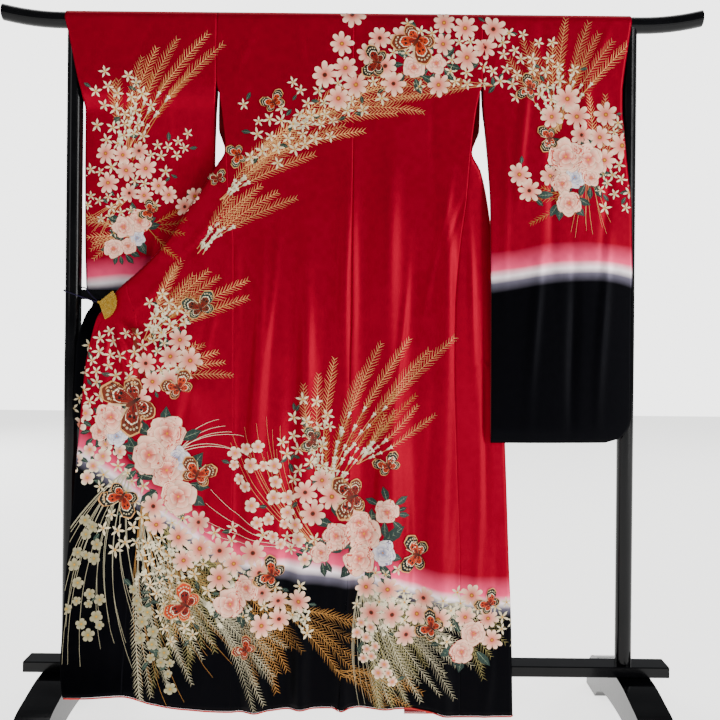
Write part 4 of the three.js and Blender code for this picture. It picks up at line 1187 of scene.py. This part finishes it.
# Scattered figures: kind, path, spread, count, smallest and largest.
SCATTERS_BACK = (
    ("star", ((-530, 1470), (-545, 1400), (-520, 1330), (-490, 1260)), 19, 62, 13, 17),
    ("star", ((-500, 1330), (-440, 1350), (-400, 1370)), 10, 19, 11, 14),
    ("star", ((-590, 1270), (-545, 1220), (-520, 1160)), 18, 27, 11, 14),
    ("daisy", ((-585, 1310), (-540, 1330), (-510, 1270)), 16, 10, 20, 25),
    ("daisy", ((-470, 1260), (-420, 1245), (-380, 1230)), 11, 9, 18, 22),
    ("star", ((-200, 1360), (-120, 1420), (-40, 1470), (40, 1500)), 20, 46, 12, 17),
    ("daisy", ((-20, 1500), (20, 1600), (90, 1570), (200, 1600), (290, 1580)), 25, 21, 23, 29),
    ("star", ((60, 1530), (150, 1610), (260, 1560), (330, 1560)), 25, 46, 13, 17),
    ("star", ((350, 1580), (420, 1540), (500, 1500)), 18, 46, 13, 17),
    ("daisy", ((470, 1470), (540, 1430), (590, 1390), (540, 1330)), 18, 16, 24, 29),
    ("daisy", ((390, 1290), (430, 1270), (470, 1300)), 13, 6, 21, 26),
    ("star", ((600, 1400), (622, 1330), (610, 1250)), 13, 35, 12, 16),
    ("star", ((-560, 900), (-580, 820), (-600, 730)), 14, 46, 13, 17),
    ("star", ((-440, 960), (-460, 880), (-430, 830)), 18, 43, 12, 16),
    ("daisy", ((-430, 860), (-400, 850), (-450, 810), (-490, 760)), 14, 12, 24, 29),
    ("plum", ((-590, 700), (-560, 660), (-600, 620)), 20, 13, 14, 19),
    ("star", ((-630, 620), (-560, 610), (-520, 580)), 13, 30, 13, 17),
    ("star", ((-510, 520), (-450, 470), (-360, 430), (-280, 400)), 25, 72, 13, 18),
    ("star", ((-480, 460), (-440, 380), (-400, 320), (-380, 250)), 17, 40, 12, 16),
    ("daisy", ((-430, 500), (-360, 440), (-300, 380), (-230, 370)), 17, 15, 23, 28),
    ("medal", ((-590, 480), (-606, 370), (-570, 250)), 12, 18, 9, 14),
    ("medal", ((-480, 330), (-450, 220), (-400, 120)), 9, 14, 9, 13),
    ("star", ((-280, 330), (-200, 300), (-110, 290)), 17, 32, 13, 17),
    ("daisy", ((-230, 320), (-200, 250), (-130, 290)), 14, 8, 21, 26),
    ("plum", ((-220, 640), (-170, 520), (-110, 430)), 27, 22, 10, 17),
    ("star", ((-90, 720), (-100, 640), (-60, 560)), 16, 40, 13, 17),
    ("star", ((-170, 470), (-110, 440), (-60, 420)), 14, 35, 13, 17),
    ("daisy", ((-70, 600), (-50, 540), (-10, 530), (-60, 500)), 13, 10, 24, 29),
    ("star", ((60, 330), (130, 290), (190, 260)), 18, 40, 12, 16),
    ("daisy", ((60, 330), (110, 290), (170, 280), (220, 250)), 16, 12, 23, 28),
    ("plum", ((40, 250), (60, 180), (90, 130)), 9, 14, 10, 14),
    ("star", ((240, 280), (300, 240), (340, 260)), 18, 30, 12, 16),
    ("daisy", ((260, 250), (300, 290), (340, 230)), 16, 9, 22, 26),
)
# Bouquets of peonies: x, z, size, count and turn.
BOUQUETS_BACK = (
    (-515, 1165, 30, 3, 0.9), (-545, 1120, 22, 2, 0.2), (525, 1320, 38, 3, 0.4), (500, 1252, 30, 2, 1.9),
    (560, 1290, 24, 1, 0.0), (-425, 650, 46, 3, 1.4), (-405, 572, 42, 2, 2.0), (-530, 705, 34, 3, 0.3),
    (-575, 690, 24, 1, 0.0), (-250, 314, 34, 2, 0.8), (0, 468, 36, 2, 0.5), (50, 425, 42, 3, 1.9),
    (92, 512, 26, 1, 0.4), (-60, 415, 24, 1, 1.2), (280, 212, 32, 2, 1.0), (145, 1545, 28, 1, 0.2),
    (198, 1556, 26, 1, 1.2), (-470, 610, 24, 1, 0.5),
)
# Butterflies: x, z, heading in degrees, size, body and rim dyes.
BUTTERFLIES_BACK = (
    (-475, 1205, 60, 30, "orange", "ink"), (-180, 1458, 30, 34, "orange", "ink"),
    (-262, 1336, 110, 32, "orange", "leaf"), (-310, 1278, 20, 26, "brick", "ink"),
    (60, 1556, 80, 44, "brick", "ink"), (152, 1610, 150, 60, "orange", "bronze"),
    (418, 1498, 70, 36, "orange", "ink"), (465, 1382, 100, 36, "orange", "ink"),
    (-346, 977, 20, 46, "bronze", "leaf"), (-495, 760, 120, 80, "brick", "bronze"),
    (-392, 792, 30, 44, "orange", "bronze"), (-350, 590, -20, 48, "orange", "bronze"),
    (-520, 541, 150, 52, "orange", "ink"), (-370, 293, 60, 52, "brick", "orange"),
    (-172, 362, 60, 46, "orange", "ink"), (-230, 190, 50, 34, "orange", "brick"),
    (-80, 675, 80, 34, "bronze", "leaf"), (94, 617, 30, 36, "orange", "ink"),
    (12, 545, 100, 58, "brick", "bronze"), (164, 410, 80, 50, "orange", "ink"),
    (198, 246, 60, 42, "orange", "ink"), (330, 300, 40, 36, "orange", "ink"),
)
SCATTER_WIDER = 1.25
FIGURES = {"star": star, "daisy": daisy, "plum": plum, "medal": medal}


def print_side(word, way, plumes, lines, scatters, bouquets, butterflies):
    stems, flowers, wings = Print(), Print(), Print()
    for x, z, first, last, count, short, long, bend, barb, shade, tips, bare in plumes:
        fan_of_plumes(stems, (x, z), first, last, count, short, long, bend, barb, shade, tips, bare)
    for x, z, first, last, count, length, bend, width, shade in lines:
        for k in range(count):
            turn = math.radians(mix(first, last, k / (count - 1)))
            foot = (x + random.uniform(-6, 6), z)
            line(stems, foot, turn, length * random.uniform(0.75, 1.05), bend, width, dye(shade))
    taken = [(x, z, size * (1.3 if count > 1 else 0.9)) for x, z, size, count, _ in bouquets]
    for x, z, size, count, turn in bouquets:
        bouquet(flowers, (x, z), size, count, turn)
    for kind, path, spread, count, small, large in sorted(scatters, key=lambda row: row[0]):
        cluster(flowers, FIGURES[kind], path, spread * SCATTER_WIDER, count, small, large, taken)
    for x, z, size in random.sample(taken, len(taken) // 3):
        turn = random.uniform(0, FULL_TURN)
        foot = (x + math.cos(turn) * size, z + math.sin(turn) * size)
        leaf(flowers, foot, turn, random.uniform(16, 24), 0.45)
    for x, z, turn, size, body, rim in butterflies:
        butterfly(wings, (x, z), math.radians(turn), size, 2.2, body, rim)
    ground = Cloth(way)
    for figures, kind in ((stems, "plumes"), (flowers, "flowers"), (wings, "butterflies")):
        ground.lay(f"print_{kind}_{word}", figures)


# The far side, which shows the fronts and the sleeves' other layers.
PLUMES_FRONT = (
    (-480, 1290, 68, 122, 8, 190, 270, 0.2, 18, "gold", "mist", 0.45),
    (500, 1370, 118, 62, 7, 170, 220, -0.2, 18, "gold", "mist", 0.45),
    (260, 520, 118, 62, 8, 190, 300, -0.2, 18, "gold", "mist", 0.45),
    (250, 900, 122, 84, 5, 150, 230, -0.2, 17, "gold", "mist", 0.45),
    (270, 330, -62, -112, 9, 170, 240, 0.2, 16, "olive", "silver", 0.4),
)
LINES_FRONT = (
    (260, 440, 98, 60, 6, 170, -0.5, 1.4, "gold"),
    (280, 380, 250, 284, 12, 280, 0.3, 1.4, "silver"),
)
SCATTERS_FRONT = (
    ("star", ((-520, 1420), (-470, 1340), (-500, 1250)), 22, 46, 13, 17),
    ("daisy", ((-440, 1330), (-490, 1270), (-420, 1230)), 22, 15, 20, 27),
    ("star", ((440, 1450), (520, 1380), (500, 1290)), 22, 42, 13, 17),
    ("daisy", ((470, 1400), (530, 1330), (460, 1300)), 22, 14, 20, 27),
    ("star", ((180, 960), (230, 880), (300, 800)), 16, 30, 12, 16),
    ("daisy", ((220, 900), (270, 840)), 14, 8, 18, 24),
    ("star", ((200, 580), (260, 470), (330, 360)), 22, 46, 12, 17),
    ("daisy", ((220, 540), (280, 440), (330, 340)), 20, 16, 20, 27),
    ("medal", ((300, 300), (280, 180)), 16, 14, 10, 14),
)
BOUQUETS_FRONT = (
    (-470, 1190, 32, 3, 0.7), (490, 1245, 32, 3, 0.4), (255, 455, 36, 3, 0.8),
)
BUTTERFLIES_FRONT = (
    (-560, 1330, 40, 34, "orange", "ink"), (-400, 1420, 110, 30, "brick", "ink"),
    (420, 1350, 70, 34, "orange", "ink"), (580, 1430, 100, 30, "brick", "bronze"),
    (310, 570, 60, 38, "orange", "ink"), (200, 800, 120, 36, "orange", "brick"),
)

print_side("back", 1, PLUMES_BACK, LINES_BACK, SCATTERS_BACK, BOUQUETS_BACK, BUTTERFLIES_BACK)
print_side("front", -1, PLUMES_FRONT, LINES_FRONT, SCATTERS_FRONT, BOUQUETS_FRONT, BUTTERFLIES_FRONT)

# ------------------------------------------------------------------ floor, backdrop and light
FLOOR_REACH, FLOOR_GLOW = 7, 2.1
AMBIENT, AMBIENT_LEVEL = (0.94, 0.96, 1.0, 1), 0.26
BACKDROP_LEVEL = 4.0
# Lamps: name, place and aim in metres, size and power.
LAMPS = (
    ("key", (5.0, -3.5, 2.0), (0, 0, 0.95), (1.5, 3.6), 330),
    ("fill", (-4.6, -3.6, 2.6), (0, 0, 1.0), (1.4, 3.2), 45),
    ("top", (0, 0.9, 3.6), (0, 1.2, 0), (3.5, 1.2), 45),
    ("far_key", (-4.2, 3.8, 2.2), (0, 0, 1.0), (1.8, 3.2), 260),
    ("far_fill", (4.4, 3.4, 2.6), (0, 0, 1.0), (1.6, 3.0), 110),
)


def floor(name, reach, shade, glow):
    """A plain pale floor that glows, so that it is as bright as the backdrop."""
    mesh = bpy.data.meshes.new(name)
    corners = [(-reach, -reach, 0), (reach, -reach, 0), (reach, reach, 0), (-reach, reach, 0)]
    mesh.from_pydata(corners, [], [(0, 1, 2, 3)])
    n = Nodes(name, Roughness=0.85, Base_Color=shade, Emission_Color=shade, Emission_Strength=glow)
    mesh.materials.append(n.material)
    put(name, mesh)


def area_light(name, location, aim, size, power):
    data = bpy.data.lights.new(name, "AREA")
    data.shape = "RECTANGLE"
    data.size, data.size_y = size
    data.energy = power
    lamp = put(name, data)
    lamp.location = location
    lamp.rotation_euler = (Vector(aim) - Vector(location)).to_track_quat("-Z", "Y").to_euler()


def studio():
    """Soft even light, and a pale backdrop that only the camera sees, alike on every side."""
    world = bpy.data.worlds.new("studio")
    world.use_nodes = True
    nodes, links = world.node_tree.nodes, world.node_tree.links
    ambient = nodes["Background"]
    backdrop = nodes.new("ShaderNodeBackground")
    for node, shade, level in (
        (ambient, AMBIENT, AMBIENT_LEVEL), (backdrop, colour(244, 244, 243), BACKDROP_LEVEL),
    ):
        node.inputs["Color"].default_value = shade
        node.inputs["Strength"].default_value = level
    ray = nodes.new("ShaderNodeLightPath")
    blend = nodes.new("ShaderNodeMixShader")
    links.new(ray.outputs["Is Camera Ray"], blend.inputs[0])
    links.new(ambient.outputs[0], blend.inputs[1])
    links.new(backdrop.outputs[0], blend.inputs[2])
    links.new(blend.outputs[0], nodes["World Output"].inputs[0])
    bpy.context.scene.world = world


floor("floor", FLOOR_REACH, colour(242, 242, 240), FLOOR_GLOW)
for lamp in LAMPS:
    area_light(*lamp)
studio()

give(LACQUER, "top_rail", "post_left", "post_right", "mid_rail", "lower_beam", "foot_left", "foot_right")
give(GILT, "fan_clip")
give(plain_silk("cord_braid", colour(34, 26, 60), colour(14, 10, 30), 0.8), "clip_cord")
